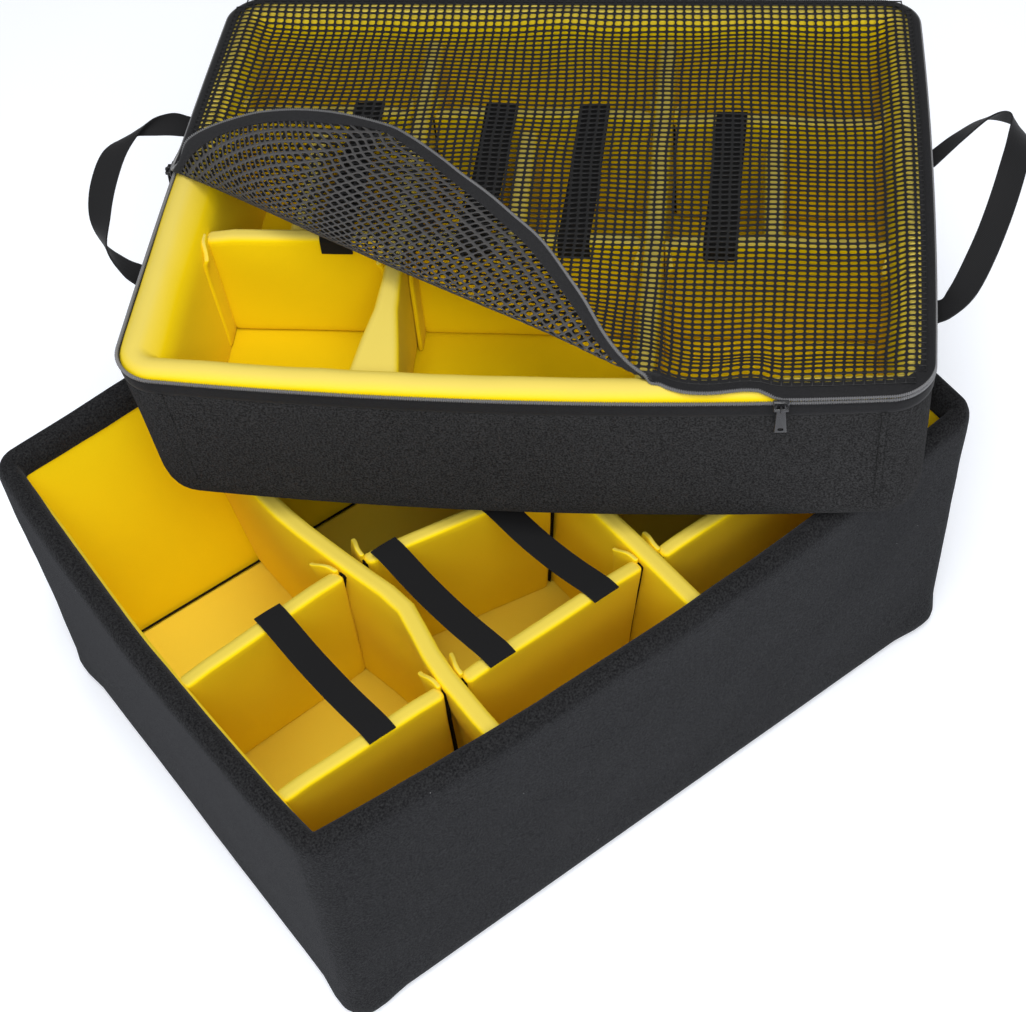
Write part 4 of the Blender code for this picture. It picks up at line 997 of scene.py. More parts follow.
def short_divider(name: str, length: float, thickness: float, low: float, high: float, flap_side: int,
                  seed: float = 0.0, wall_end: int = 0) -> tuple[bpy.types.Object, bpy.types.Object]:
    """A short padded divider along X, with a flap of cloth at each end turned to one side.

    Args:
        name: The divider's name.
        length: Its length.
        thickness: Its thickness.
        low: The height of its foot.
        high: The height of its top.
        flap_side: 1 where the flaps lie towards +Y, -1 towards -Y.
        seed: Sets how its top wavers.
        wall_end: The end, -1 or 1, whose flap lies low and flat on the box's own wall, or 0.

    Returns:
        The divider with its flaps, and the black hook strips at its ends.
    """
    height = high - low
    body = padded_board(name, (length - 0.0044, thickness, height), cuts=17, plump=0.08, edge=0.0058)

    def stand(point: Vector) -> Vector:
        """Stands the board up, its top a little uneven and its upper corners drawn down."""
        place = Vector((point.x, point.y, point.z + low + height / 2))
        lift = smoothstep(low + 0.7 * height, high, place.z)
        near_end = smoothstep(length / 2 - 0.028, length / 2 - 0.004, abs(point.x))
        place.z -= (0.0018 * (0.5 + wander(place, 0.07, seed)) + 0.0035 * near_end) * lift
        place.y += 0.0009 * wander(place, 0.06, seed + 5.0)
        return place

    move_mesh(body, stand)
    pieces, strips = [body], []
    reach = 0.027
    for end in (-1, 1):
        flap = padded_board(name + "_flap", (reach, 0.0042, height - 0.003), cuts=11, plump=0.0)

        def turn(point: Vector, end: int = end) -> Vector:
            """Lays the flap along the wall that the divider's end meets, its free top corner rolled off it."""
            out = point.x + reach / 2
            up = (point.z + height / 2) / height
            flat = end == wall_end
            free = 0.0 if flat else smoothstep(0.25, 1.0, out / reach) * smoothstep(0.80, 1.0, up)
            bulge = 0.0014 * math.sin(math.pi * out / reach) * (0.4 + 0.6 * wander(point, 0.05, seed + end))
            place = Vector((end * (length / 2 - 0.0024 - 0.0045 * free - abs(bulge)), 0, 0))
            place.x += point.y
            place.y = flap_side * (out + thickness / 2 - 0.005)
            rolled = 0.009 * free ** 2 - 0.002 * smoothstep(0.9, 1.0, up)
            if flat:
                rolled = 0.012 * smoothstep(0.6, 1.0, up)
            place.z = point.z + low + height / 2 - 0.001 - rolled
            return place

        pieces.append(move_mesh(flap, turn))
        strip = padded_board(name + "_hooks", (0.0014, thickness - 0.003, height - 0.010), cuts=7, plump=0.0)
        middle = Vector((end * (length / 2 - 0.0010), 0, low + height / 2 - 0.003))
        strips.append(move_mesh(strip, lambda point, middle=middle: point + middle))
    return soften(join(name, pieces)), soften(join(name + "_hooks", strips))


# ---------------------------------------------------------------- the tray


@dataclass
class Tray:
    """The zipped tray with its dividers and their straps."""

    length: float = 0.655
    width: float = 0.500
    height: float = 0.150
    corner: float = 0.034
    wall: float = 0.034
    place: Vector = field(default_factory=lambda: Vector((0.154, 0.086, 0.3153)))
    turn: float = math.radians(-42.3)
    front_bow: float = 0.016
    right_bow: float = 0.006
    left_bow: float = 0.003
    left_lean: float = 0.016
    floor: float = 0.0148
    divider_top: float = 0.136
    stub_top: float = 0.120
    cross_places: tuple[float, float] = (-0.12797, 0.09626)
    rows: dict[str, float] = field(default_factory=lambda: {"front": -0.0553, "rear": 0.11232})
    stubs: dict[str, float] = field(default_factory=lambda: {"left": 0.45, "middle": 0.44, "right": 0.50})
    strap_shares: dict[str, tuple[float, ...]] = field(
        default_factory=lambda: {"left": (0.72,), "middle": (0.30, 0.72), "right": (0.27,)})
    board_inset: float = 0.024
    board_middle: float = 0.0032
    board_thickness: float = 0.003

    def __post_init__(self) -> None:
        """Works out the tray's place in the set."""
        self.matrix = Matrix.Translation(self.place) @ Matrix.Rotation(self.turn, 4, "Z")
        self.size = (self.length, self.width, self.corner)
        self.short_top = self.divider_top - 0.002

    def shape(self, point: Vector) -> Vector:
        """The front bows out, and the left end leans out at the open corner."""
        along, across = point.x / (self.length / 2), point.y / (self.width / 2)
        front = self.front_bow * max(0.0, 1 - along ** 2) if across < 0 else 0.0
        side = max(0.0, 1 - across ** 2)
        if along > 0:
            out = self.right_bow * side
        else:
            out = self.left_bow * side + self.left_lean * min(1.1, point.z / self.height) * (1 - across) / 2
        return Vector((point.x + along * out, point.y + across * front, point.z))

    def set(self, point: Vector) -> Vector:
        """Takes a point from the tray's directions to the set's."""
        return self.matrix @ point

    def set_shaped(self, point: Vector) -> Vector:
        """Bows a plain point out with the tray's walls and takes it to the set's directions."""
        return self.set(self.shape(point))

    def cover(self) -> None:
        """The black cover round the side, turned under at its foot."""
        def soft(point: Vector) -> Vector:
            """Cloth over foam, with a soft seam down each corner."""
            place = self.shape(point)
            middle = smoothstep(0.0, 0.03, place.z) * smoothstep(0.15, 0.13, place.z)
            lump = 0.0014 * wander(place, 0.09, 2.0) * middle
            outward = Vector((place.x / 0.33, place.y / 0.25, 0)).normalized()
            return self.set(place + outward * lump)

        section = [(0.045, 0.0006), (0.022, 0.0006), (0.0130, 0.0012), (0.0082, 0.0028), (0.0046, 0.0054),
                   (0.0021, 0.0092), (0.0007, 0.0140), (0.0001, 0.0200), (0.0, 0.028)]
        section += [(0.0, z / 1000) for z in range(38, 134, 8)] + [(0.0002, 0.1365), (0.0008, 0.1392)]
        cover = sew(swept_wall("tray_cover", self.size, section, soft), -1.0)
        fit(cover, Finish.TRAY_BLACK, "tray", "black_cloth", "tray_side_cover", fill=0.85)

    def underside(self) -> None:
        """The black cloth under the tray, and the stiff board on it."""
        sheet = plate("tray_underside", self.size, 0.042, 0.0009, CLOTH, self.set_shaped)
        fit(sheet, Finish.TRAY_BLACK, "tray", "black_cloth", "tray_base_cover", fill=0.9)
        board = plate("tray_board", self.size, self.board_inset, self.board_middle, self.board_thickness,
                      self.set_shaped)
        fit(board, Finish.BOARD, "tray", "board", "tray_base_board")

    def foam(self) -> None:
        """The foam inside the walls, under the lining's crown."""
        section = [(0.030, 0.0050), (0.018, 0.0070), (0.0080, 0.0130), (0.0040, 0.0260), (0.0040, 0.1300),
                   (0.0062, 0.1400), (0.0110, 0.1480), (0.0160, 0.1500), (0.0205, 0.1480), (0.0245, 0.1420),
                   (0.0280, 0.1330), (0.0305, 0.1220), (0.0310, 0.0090)]
        core = soften(swept_wall("tray_foam_core", self.size, section, self.set_shaped, straight=40, closed=True))
        fit(core, Finish.FOAM, "tray", "foam", "tray_back_foam", "tray_front_foam", "tray_left_foam",
            "tray_right_foam", fill=0.9)

    def seams(self) -> None:
        """The lapped seams that stand up the cover beside its corners."""
        edge = self.length / 2 - self.corner - 0.004
        low, high, steps = 0.018, 0.136, 20
        strips = []
        for side_u, side_v in ((-1, -1), (-1, 1), (1, -1), (1, 1)):
            path = []
            for step in range(steps + 1):
                height = lerp(low, high, step / steps)
                inset = 0.0022 * max(0.0, (0.030 - height) / 0.012)
                flat = Vector((side_u * edge, side_v * (self.width / 2 - inset), height))
                path.append(self.shape(flat) + Vector((0, side_v * 0.0008, 0)))
            across = [Vector((1, 0, 0))] * len(path)
            strips.append(ribbon("tray_corner_seams", path, across, 0.0042, CLOTH, 0.0004))
        seams = join("tray_corner_seams", strips)
        fit(move_mesh(seams, self.set), Finish.TRAY_BLACK, "tray", "black_cloth")

    def lining(self) -> None:
        """The yellow lining, which rolls over the foam of the walls and down inside."""
        def full(point: Vector) -> Vector:
            """Soft foam under cloth: fuller along each side, tight at the corners, with faint gathers."""
            place = self.shape(point)
            along, across = point.x / (self.length / 2), point.y / (self.width / 2)
            rise = smoothstep(0.120, 0.158, point.z)
            corner = smoothstep(0.80, 1.0, abs(along)) * smoothstep(0.74, 1.0, abs(across))
            gathers = 0.0012 * wander(place, 0.10, 5.0) + 0.0008 * wander(place, 0.03, 9.0)
            place.z += rise * gathers - 0.002 * corner
            inward = Vector((-along, 0, 0) if abs(along) > abs(across) else (0, -across, 0))
            if point.z < 0.146 and inward.length > 0:
                full_by = 0.0016 * (0.4 + wander(place, 0.10, 6.0)) * smoothstep(0.0, 0.05, point.z)
                place += inward.normalized() * full_by
            return self.set(place)

        section = [(0.0035, 0.1405), (0.0026, 0.1450), (0.0034, 0.1495), (0.0062, 0.1534), (0.0105, 0.1560),
                   (0.0150, 0.1568), (0.0192, 0.1557), (0.0228, 0.1532), (0.0260, 0.1493), (0.0290, 0.1440),
                   (0.0316, 0.1375), (0.0336, 0.1300), (0.0346, 0.1220)]
        section += [(0.0348, z / 1000) for z in range(114, 14, -9)] + [(0.0348, 0.0070)]
        lining = sew(swept_wall("tray_lining", self.size, section, full), 1.0)
        # The lining takes the darker copy of the yellow: painted shade.
        fit(lining, Finish.TRAY_YELLOW, "tray", "yellow_cloth", "tray_liner", fill=0.75)

    def floor_pad(self) -> None:
        """The yellow pad on the tray's floor."""
        pad = padded_board("tray_floor", (self.width - 2 * self.wall - 0.0025, 0.010,
                                          self.length - 2 * self.wall - 0.0025), cuts=18, plump=0.0, edge=0.004)
        middle = Vector((0, 0, self.floor - 0.005))
        soften(pad, lambda point: self.set_shaped(LAY_FLAT @ point + middle))
        # The floor cloth is a darker copy too: painted shade.
        fit(pad, Finish.TRAY_FLOOR, "tray", "yellow_cloth", "tray_floor_pad", fill=0.8)

    def cross_dividers(self) -> None:
        """The two long dividers from the tray's front wall to its back."""
        height = self.divider_top - self.floor
        for number, u in enumerate(self.cross_places, 1):
            board = padded_board(f"tray_cross_divider_pad_{number}",
                                 (self.width - 2 * self.wall - 0.0006, 0.0168, height), cuts=19, plump=0.08,
                                 edge=0.0065)

            def stand(point: Vector, u: float = u, number: int = number) -> Vector:
                """Stands the divider across the tray."""
                along = Vector((u - point.y, point.x, point.z + self.floor + height / 2))
                place = Vector((along.x, self.shape(along).y, along.z))
                place.x += 0.0012 * wander(place, 0.07, number + 3.0)
                if number == 1:
                    place.x -= math.copysign(0.013, point.y) * smoothstep(-0.10, -0.216, along.y) ** 1.4
                place.z -= 0.0016 * (0.5 + wander(place, 0.09, number)) * smoothstep(0.1, 0.13, place.z)
                return self.set(place)

            fit(soften(board, stand), Finish.TRAY_YELLOW, "tray", "yellow_cloth", f"tray_cross_divider_{number}",
                fill=0.6)

    def short_divider(self, column: str, row: str, low: float, high: float, v: float) -> None:
        """One of a column's two short dividers.

        Args:
            column: The column's name.
            row: The divider's row.
            low: The column's low end.
            high: Its high end.
            v: The divider's place across the tray.
        """
        pad, hooks = short_divider(f"tray_{column}_{row}_pad", high - low, 0.0150, self.floor, self.short_top,
                                   -1 if row == "front" else 1, seed=low + self.rows[row])

        def stand(point: Vector) -> Vector:
            """Stands the divider in its column, its end out to the wall."""
            place = Vector(((low + high) / 2 + point.x, v + point.y, point.z))
            share = (place.x - low) / (high - low)
            if column == "left":
                lean = self.left_bow + self.left_lean * place.z / self.height * (0.5 - v / self.width)
                place.x -= lean * (1 - share)
            if column == "right":
                place.x += self.right_bow * share
            return self.set(place)

        body = f"tray_{column}_set"
        fit(move_mesh(pad, stand), Finish.TRAY_YELLOW, body, "yellow_cloth", f"tray_{column}_{row}_divider", fill=0.6)
        fit(move_mesh(hooks, stand), Finish.HOOK, body, "webbing")

    def stub(self, column: str, u: float, front: float, rear: float) -> None:
        """The stub between a column's two short dividers."""
        height = self.stub_top - self.floor
        stub = padded_board(f"tray_{column}_stub_pad", (rear - front - 0.0156, 0.0175, height), cuts=13, edge=0.006)

        def stand(point: Vector) -> Vector:
            """Stands the stub across the column, a little uneven."""
            waver = 0.001 * wander(point, 0.05, u)
            return self.set(Vector((u - point.y + waver, (front + rear) / 2 + point.x,
                                    point.z + self.floor + height / 2)))

        fit(soften(stub, stand), Finish.TRAY_YELLOW, f"tray_{column}_set", "yellow_cloth", f"tray_{column}_stub",
            fill=0.6)

    def strap(self, node: str, column: str, u: float, front: float, rear: float) -> None:
        """A strap over a column's two short dividers, turned down over the front one's face."""
        top = self.short_top + 0.0019
        face = front - 0.0075 - 0.0014
        middle = (front + rear) / 2
        keys = [(face, top - 0.019), (face - 0.0002, top - 0.010), (face + 0.0001, top - 0.0030),
                (face + 0.0030, top + 0.0002), (front + 0.004, top), (front + 0.030, top - 0.0028),
                (middle, top - 0.0044), (rear - 0.030, top - 0.0026), (rear - 0.004, top), (rear + 0.0050, top)]
        path = smooth_path([Vector((u + 0.035 * (v - middle), v, z)) for v, z in keys], 4)
        band = ribbon(node + "_band", path, [Vector((1, 0, 0))] * len(path), 0.0280, 0.0015, 0.0002)
        fit(move_mesh(band, self.set), Finish.STRAP, f"tray_{column}_set", "webbing", node)

    def short_dividers(self) -> None:
        """Each column's two short dividers, the stub between them and the straps over them."""
        for column, (low, high) in bays(self.length / 2 - self.wall, self.cross_places).items():
            front = self.rows["front"]
            rear = self.rows["rear"] - (0.008 if column == "right" else 0.0)
            for row, v in (("front", front), ("rear", rear)):
                self.short_divider(column, row, low, high, v)
            self.stub(column, low + self.stubs[column] * (high - low), front, rear)
            for number, share in enumerate(self.strap_shares[column], 1):
                node = f"tray_{column}_strap" + (f"_{number}" if column == "middle" else "")
                self.strap(node, column, low + share * (high - low), front, rear)

    def build(self) -> None:
        """Builds all of the tray but its zip, lid and handles."""
        for step in (self.cover, self.underside, self.foam, self.seams, self.lining, self.floor_pad,
                     self.cross_dividers, self.short_dividers):
            step()


# ---------------------------------------------------------------- the zip and the net lid


def cell_middle(place: float, pitch: float, count: int) -> float:
    """The middle of the cell that a place lies in, along a centred row of cells."""
    size = count * pitch
    return (math.floor((place + size / 2) / pitch) + 0.5) * pitch - size / 2


@dataclass
class Lid:
    """The net lid, its zip tape and coil, and its corner that is turned back."""

    tray: Tray
    plane: float = 0.1603
    tape: float = 0.0115
    net_inset: float = 0.007
    hole: tuple[float, float] = (0.0063, 0.0044)
    pitch: tuple[float, float] = (0.0081, 0.0062)
    net_thickness: float = 0.0009
    hole_cut: float = 0.0011
    fold_radius: float = 0.019
    fold_lift: float = 0.0011
    net_sag: float = 0.0085
    coil_step: float = 0.00092
    coil_sides: int = 6
    coil_radii: tuple[float, float] = (0.0011, 0.0022)
    squashed: float = 0.10
    # The net as it is cut for the corner, and how much of each cut is net: less its holes and what lies beyond the
    # crease.
    corner_cut: tuple[float, float] = (0.400, 0.235)
    corner_share: float = 0.32
    lid_share: float = 0.52
    crease_left: Vector = field(default_factory=lambda: Vector((-0.3275, -0.006, 0)))
    crease_front: Vector = field(default_factory=lambda: Vector((0.1048, -0.25, 0)))
    # The turned-back corner's edge: rows of (place along the crease before it was turned, place along it now, how far
    # it lies inwards of the crease, height).
    edge: tuple[tuple[float, ...], ...] = (
        (0.00, 0.002, 0.000, 0.1625), (0.02, -0.003, 0.017, 0.180), (0.04, 0.023, 0.043, 0.194),
        (0.07, 0.053, 0.071, 0.197), (0.10, 0.096, 0.100, 0.193), (0.12, 0.143, 0.118, 0.186),
        (0.14, 0.166, 0.121, 0.181), (0.17, 0.203, 0.117, 0.176), (0.20, 0.2326, 0.110, 0.174),
        (0.26, 0.285, 0.097, 0.1715), (0.32, 0.338, 0.079, 0.170), (0.38, 0.388, 0.052, 0.168),
        (0.44, 0.438, 0.0195, 0.166), (0.47, 0.466, 0.0065, 0.1635), (0.4964, 0.4956, 0.0014, 0.1608))
    # How far the loose front edge is drawn in: rows of (place along the tray, distance).
    slack: tuple[tuple[float, float], ...] = (
        (-0.3275, 0.0), (-0.20, 0.003), (-0.136, 0.007), (-0.06, 0.0125), (0.02, 0.018), (0.07, 0.0175),
        (0.105, 0.016), (0.117, 0.0095), (0.1295, 0.005), (0.1416, 0.0035), (0.1535, 0.0035), (0.1656, 0.005),
        (0.1776, 0.0065), (0.19, 0.0055), (0.199, 0.002), (0.21, 0.0), (0.33, 0.0))

    def __post_init__(self) -> None:
        """Works out the crease's directions."""
        self.along = (self.crease_front - self.crease_left).normalized()
        self.inward = Vector((-self.along.y, self.along.x, 0))
        self.crease_length = (self.crease_front - self.crease_left).length
        rim = [((point - self.crease_left).dot(self.along), self.beyond(point)) for point in self.outline(0.0)]
        self.rim = sorted([(0.0, 0.0), (self.crease_length, 0.0)] + [pair for pair in rim if pair[1] > 0])

    def depth(self, a: float) -> float:
        """How far the lid's outline lies from the crease, on the corner's side."""
        if not 0.0 < a < self.crease_length:
            return 0.0
        spot = bisect_left(self.rim, (a, 0.0))
        (before, low), (after, high) = self.rim[spot - 1], self.rim[spot]
        return lerp(low, high, (a - before) / max(1e-9, after - before))

    def beyond(self, flat: Vector) -> float:
        """How far a flat point lies on the corner's side of the crease."""
        return -(flat - self.crease_left).to_2d().dot(self.inward.to_2d())

    def edge_distance(self, flat: Vector) -> float:
        """How far a flat point lies inside the lid's outline."""
        half_u, half_v, bend = self.tray.length / 2, self.tray.width / 2, self.tray.corner
        du, dv = half_u - abs(flat.x), half_v - abs(flat.y)
        if du < bend and dv < bend:
            return bend - math.hypot(bend - du, bend - dv)
        return min(du, dv)

    def surface(self, flat: Vector, drop: float = 0.0) -> Vector:
        """Takes a point of the closed, flat lid to its real place.

        Args:
            flat: The point on the plain rectangle of the lid.
            drop: How far it lies below the lid's plane when it is closed.

        Returns:
            The point in the tray's directions: sagging softly over most of the lid, and turned back over a soft
            fold beyond the crease.
        """
        a = (flat - self.crease_left).to_2d().dot(self.along.to_2d())
        q = self.beyond(flat)
        share = min(1.0, max(0.0, a / self.crease_length))
        radius = self.fold_radius * math.sin(math.pi * share) ** 0.85 + self.fold_lift
        base = 0.46 * radius
        front = smoothstep(0.208, 0.188, flat.x) * smoothstep(-0.20, -0.23, flat.y)
        drop *= 1 - 0.75 * max(front, smoothstep(-0.035, -0.006, q))
        if q <= -base:
            return self.stretched(flat, -q, base) - Vector((0, 0, drop))
        return self.turned_back(flat, a, q, radius, base, drop)

    def stretched(self, flat: Vector, away: float, base: float) -> Vector:
        """The net's middle plane where the lid is zipped shut: sagging, and wavering between its strands.

        Args:
            flat: The point on the plain rectangle of the lid.
            away: How far it lies from the crease.
            base: How far from the crease the fold starts.

        Returns:
            The point in the tray's directions.
        """
        inset = self.edge_distance(flat)
        level = self.pulled(flat)
        sag = self.net_sag * smoothstep(0.020, 0.050, inset) * smoothstep(base + 0.004, 0.075, away)
        wave = 0.0040 * wander(level, 0.11, 2.0) + 0.0014 * wander(level, 0.04, 6.0)
        level += smoothstep(0.012, 0.050, inset) * Vector((
            0.0030 * wander(level, 0.12, 21.0) + 0.0012 * wander(level, 0.05, 25.0),
            0.0030 * wander(level, 0.12, 31.0) + 0.0012 * wander(level, 0.05, 35.0), 0))
        return Vector((level.x, level.y, self.plane - sag + wave * smoothstep(0.012, 0.035, inset)))

    def turned_back(self, flat: Vector, a: float, q: float, radius: float, base: float, drop: float) -> Vector:
        """A point of the corner, on a cubic curve from the crease, round the fold, to the corner's edge.

        Args:
            flat: The point on the plain rectangle of the lid.
            a: Its place along the crease.
            q: How far it lies beyond the crease.
            radius: The fold's size there.
            base: How far inwards of the crease the fold starts.
            drop: How far it stands off the sheet's middle.

        Returns:
            The point in the tray's directions.
        """
        start = self.pulled(self.crease_left + self.along * a + self.inward * base)
        edge_a, edge_q, edge_z = through(self.edge, min(self.crease_length, max(0.0, a)))
        edge = self.crease_left + self.along * edge_a + self.inward * edge_q - start
        end_x, end_z, drift = edge.dot(self.inward), edge_z - self.plane, edge.dot(self.along)
        t = min(1.25, (q + base) / (max(0.0, self.depth(a)) + base))
        lift = end_z + 0.23 * max(0.0, end_x)
        hold, late = 2.2 * radius, 1.05 * end_x
        x = -3 * hold * t * (1 - t) ** 2 + late * t * t * (1 - t) + end_x * t ** 3
        z = 3 * lift * t * t * (1 - t) + end_z * t ** 3
        slope_x = -3 * hold * (1 - t) * (1 - 3 * t) + late * t * (2 - 3 * t) + 3 * end_x * t * t
        slope_z = 3 * lift * t * (2 - 3 * t) + 3 * end_z * t * t
        size = max(1e-6, math.hypot(slope_x, slope_z))
        stand = drop - 0.0022 * wander(flat, 0.06, 11.0) * smoothstep(0.01, 0.06, q)
        x -= stand * slope_z / size
        z += stand * slope_x / size
        return Vector((start.x, start.y, self.plane + z)) + self.inward * x + self.along * drift * t * t

    def pulled(self, flat: Vector) -> Vector:
        """A point of the flat lid, drawn in from the front where the open corner's edge hangs loose."""
        level = self.tray.shape(Vector((flat.x, flat.y, self.tray.height)))
        (pull,) = through(self.slack, flat.x)
        away = min(max(0.0, -self.beyond(flat)), flat.y + self.tray.width / 2)
        return level + Vector((0, pull * (1 - smoothstep(0.0, 0.13, away)), 0))

    def net_cell(self) -> bpy.types.Object:
        """One cell of the net: a plate with a hole whose corners are cut off."""
        half_u, half_v = self.pitch[0] / 2, self.pitch[1] / 2
        hole_u, hole_v = self.hole[0] / 2, self.hole[1] / 2
        cut = self.hole_cut
        ring = [(hole_u, hole_v - cut), (hole_u - cut, hole_v), (cut - hole_u, hole_v), (-hole_u, hole_v - cut),
                (-hole_u, cut - hole_v), (cut - hole_u, -hole_v), (hole_u - cut, -hole_v), (hole_u, cut - hole_v)]
        outer = [(half_u, half_v), (-half_u, half_v), (-half_u, -half_v), (half_u, -half_v)]
        points = [(u, v, 0) for u, v in ring + outer]
        faces = []
        for side in range(4):
            first, second = 2 * side, 2 * side + 1
            corner, following = 8 + side, 8 + (side + 1) % 4
            faces.append((first, corner, second))
            faces.append((second, corner, following, (second + 1) % 8))
        mesh = bpy.data.meshes.new("net_cell")
        mesh.from_pydata(points, [], faces)
        cell = bpy.data.objects.new("net_cell", mesh)
        bpy.context.collection.objects.link(cell)
        return cell

    def net(self, name: str, corner: bool) -> bpy.types.Object:
        """The net as a sheet of strands with open holes, on one side of the crease."""
        inset = self.net_inset
        pitch_u, pitch_v = self.pitch
        half_u, half_v = self.tray.length / 2 - inset, self.tray.width / 2 - inset
        count_u, count_v = int(2 * half_u / pitch_u), int(2 * half_v / pitch_v)
        sheet = self.net_cell()
        sheet.name = name
        first = Vector((-(count_u - 1) / 2 * pitch_u, -(count_v - 1) / 2 * pitch_v, 0))
        for count, step in ((count_u, (pitch_u, 0, 0)), (count_v, (0, pitch_v, 0))):
            apply_modifier(sheet, "ARRAY", count=count, use_relative_offset=False, use_constant_offset=True,
                           constant_offset_displace=step)
        move_mesh(sheet, lambda point: point + first)
        weld(sheet, 0.0001)
        doomed = []
        for face in sheet.data.polygons:
            middle = Vector((cell_middle(face.center.x, pitch_u, count_u),
                             cell_middle(face.center.y, pitch_v, count_v), 0))
            if self.edge_distance(middle) < inset or (self.beyond(middle) > 0) != corner:
                doomed.append(face.index)
        self.delete_faces(sheet, doomed)
        move_mesh(sheet, lambda point: self.tray.set(self.surface(point)))
        thicken(sheet, self.net_thickness)
        smooth(sheet, 180)
        return sheet

    @staticmethod
    def delete_faces(sheet: bpy.types.Object, doomed: Sequence[int]) -> None:
        """Deletes the faces of the given numbers, and the points that are left over."""
        select_only(sheet)
        bpy.ops.object.mode_set(mode="EDIT")
        bpy.ops.mesh.select_mode(type="FACE")
        bpy.ops.mesh.select_all(action="DESELECT")
        bpy.ops.object.mode_set(mode="OBJECT")
        for index in doomed:
            sheet.data.polygons[index].select = True
        bpy.ops.object.mode_set(mode="EDIT")
        bpy.ops.mesh.delete(type="FACE")
        bpy.ops.object.mode_set(mode="OBJECT")

    def outline(self, inset: float, straight: int = 90, corner: int = 12) -> list[Vector]:
        """The lid's outline drawn in by an inset, with no repeat of its first point."""
        return plan_loop(*self.tray.size, inset, straight, corner)

    def arc(self, corner: bool) -> list[int]:
        """The numbers of the outline's stations on one side of the crease, in order round it."""
        stations = self.outline(0.0)
        inside = [self.beyond(point) > 0 for point in stations]
        count = len(stations)
        start = next(i for i in range(count) if inside[i] == corner and inside[i - 1] != corner)
        chosen = [start - 1]
        while inside[(chosen[-1] + 1) % count] == corner:
            chosen.append((chosen[-1] + 1) % count)
        chosen.append((chosen[-1] + 1) % count)
        return [index % count for index in chosen]

    def band(self, name: str, stations: Sequence[int], section: Sequence[tuple[float, float]]) -> bpy.types.Object:
        """A band of tape along part of the outline, from (inset, drop) points."""
        plans = {inset: self.outline(inset) for inset, _ in section}

        def place(column: int, row: int) -> Vector:
            """The point for a station of the outline and a point of the section."""
            inset, drop = section[row]
            return self.tray.set(self.surface(plans[inset][stations[column]], drop))

        return grid_sheet(name, len(stations) - 1, len(section) - 1, place)

    def coil(self, name: str, centres: Sequence[Vector]) -> bpy.types.Object:
        """A zip coil along a line, its loops standing out one after another."""
        length = sum((b - a).length for a, b in zip(centres, centres[1:]))
        rings = max(8, round(length / self.coil_step))
        path, spot, gone = [], 0, 0.0
        for ring in range(rings + 1):
            target = length * ring / rings
            while spot < len(centres) - 2 and gone + (centres[spot + 1] - centres[spot]).length < target:
                gone += (centres[spot + 1] - centres[spot]).length
                spot += 1
            step = centres[spot + 1] - centres[spot]
            path.append(centres[spot] + step * min(1.0, (target - gone) / max(1e-9, step.length)))

        def place(column: int, row: int) -> Vector:
            """The point for a ring and a side, every other ring being large."""
            ahead = (path[min(column + 1, rings)] - path[max(column - 1, 0)]).normalized()
            side = ahead.cross(Vector((0, 0, 1))).normalized()
            up = side.cross(ahead)
            size = self.coil_radii[column % 2]
            angle = 2 * math.pi * row / self.coil_sides
            return path[column] + side * size * 0.85 * math.cos(angle) + up * size * math.sin(angle)

        tube = grid_sheet(name, rings, self.coil_sides, place)
        weld(tube, 0.00001)
        face_outwards(tube)
        smooth(tube, 50)
        return tube

    def part(self, corner: bool) -> None:
        """The net, the tape and the coil of the zipped part of the lid, or of its turned-back corner."""
        label = "lid_corner" if corner else "lid"
        section = [(0.0004, 0.0068), (0.0010, 0.0050), (0.0032, 0.0034), (0.0065, 0.0018)]
        if corner:
            section += [(0.0080, 0.0010), (0.0096, 0.0001)]
        else:
            section += [(0.0095, 0.0006), (self.tape + 0.0006, 0.0001)]
        net = self.net(label + "_mesh", corner)
        # The corner takes the lighter copies of the net and tape: painted light.
        fit(net, Finish.FLAP_NET if corner else Finish.NET, label, "net", label + "_net")
        stations = self.arc(corner)
        tape = sew(self.band(label + "_border", stations, section))
        plan = self.outline(0.0006)
        coil = self.coil(label + "_coil", [self.tray.set(self.surface(plan[index], 0.0064)) for index in stations])
        fit(tape, Finish.FLAP_TAPE if corner else Finish.TAPE, label, "zip_tape", label + "_tape")
        fit(coil, Finish.COIL, label, "zip_tape")
        if corner:
            for piece in (net, tape, coil):
                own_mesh(piece)

    def build(self) -> None:
        """Builds the lid, its turned-back corner and the tray's half of the zip."""
        self.part(corner=False)
        self.part(corner=True)
        self.tray_zip()

    def tray_zip(self) -> None:
        """The tray's half of the zip: its tape, sewn over the cover's edge, and its coil."""
        tray = self.tray
        section = [(0.0006, 0.1352), (-0.0004, 0.1362), (-0.0005, 0.1400), (-0.0002, 0.1440), (0.0002, 0.1490),
                   (0.0016, 0.1500)]
        tape = sew(swept_wall("tray_zip_tape", tray.size, section, tray.set_shaped, straight=90, corner=12), -1.0,
                   0.0009)
        fit(tape, Finish.TAPE, "tray", "zip_tape", "tray_zip")
        plan = self.outline(0.0003)
        centres = [tray.set_shaped(Vector((point.x, point.y, tray.height))) for point in plan + plan[:1]]
        fit(self.coil("tray_zip_coil", centres), Finish.COIL, "tray", "zip_tape")


# ---------------------------------------------------------------- handles, sliders and pulls


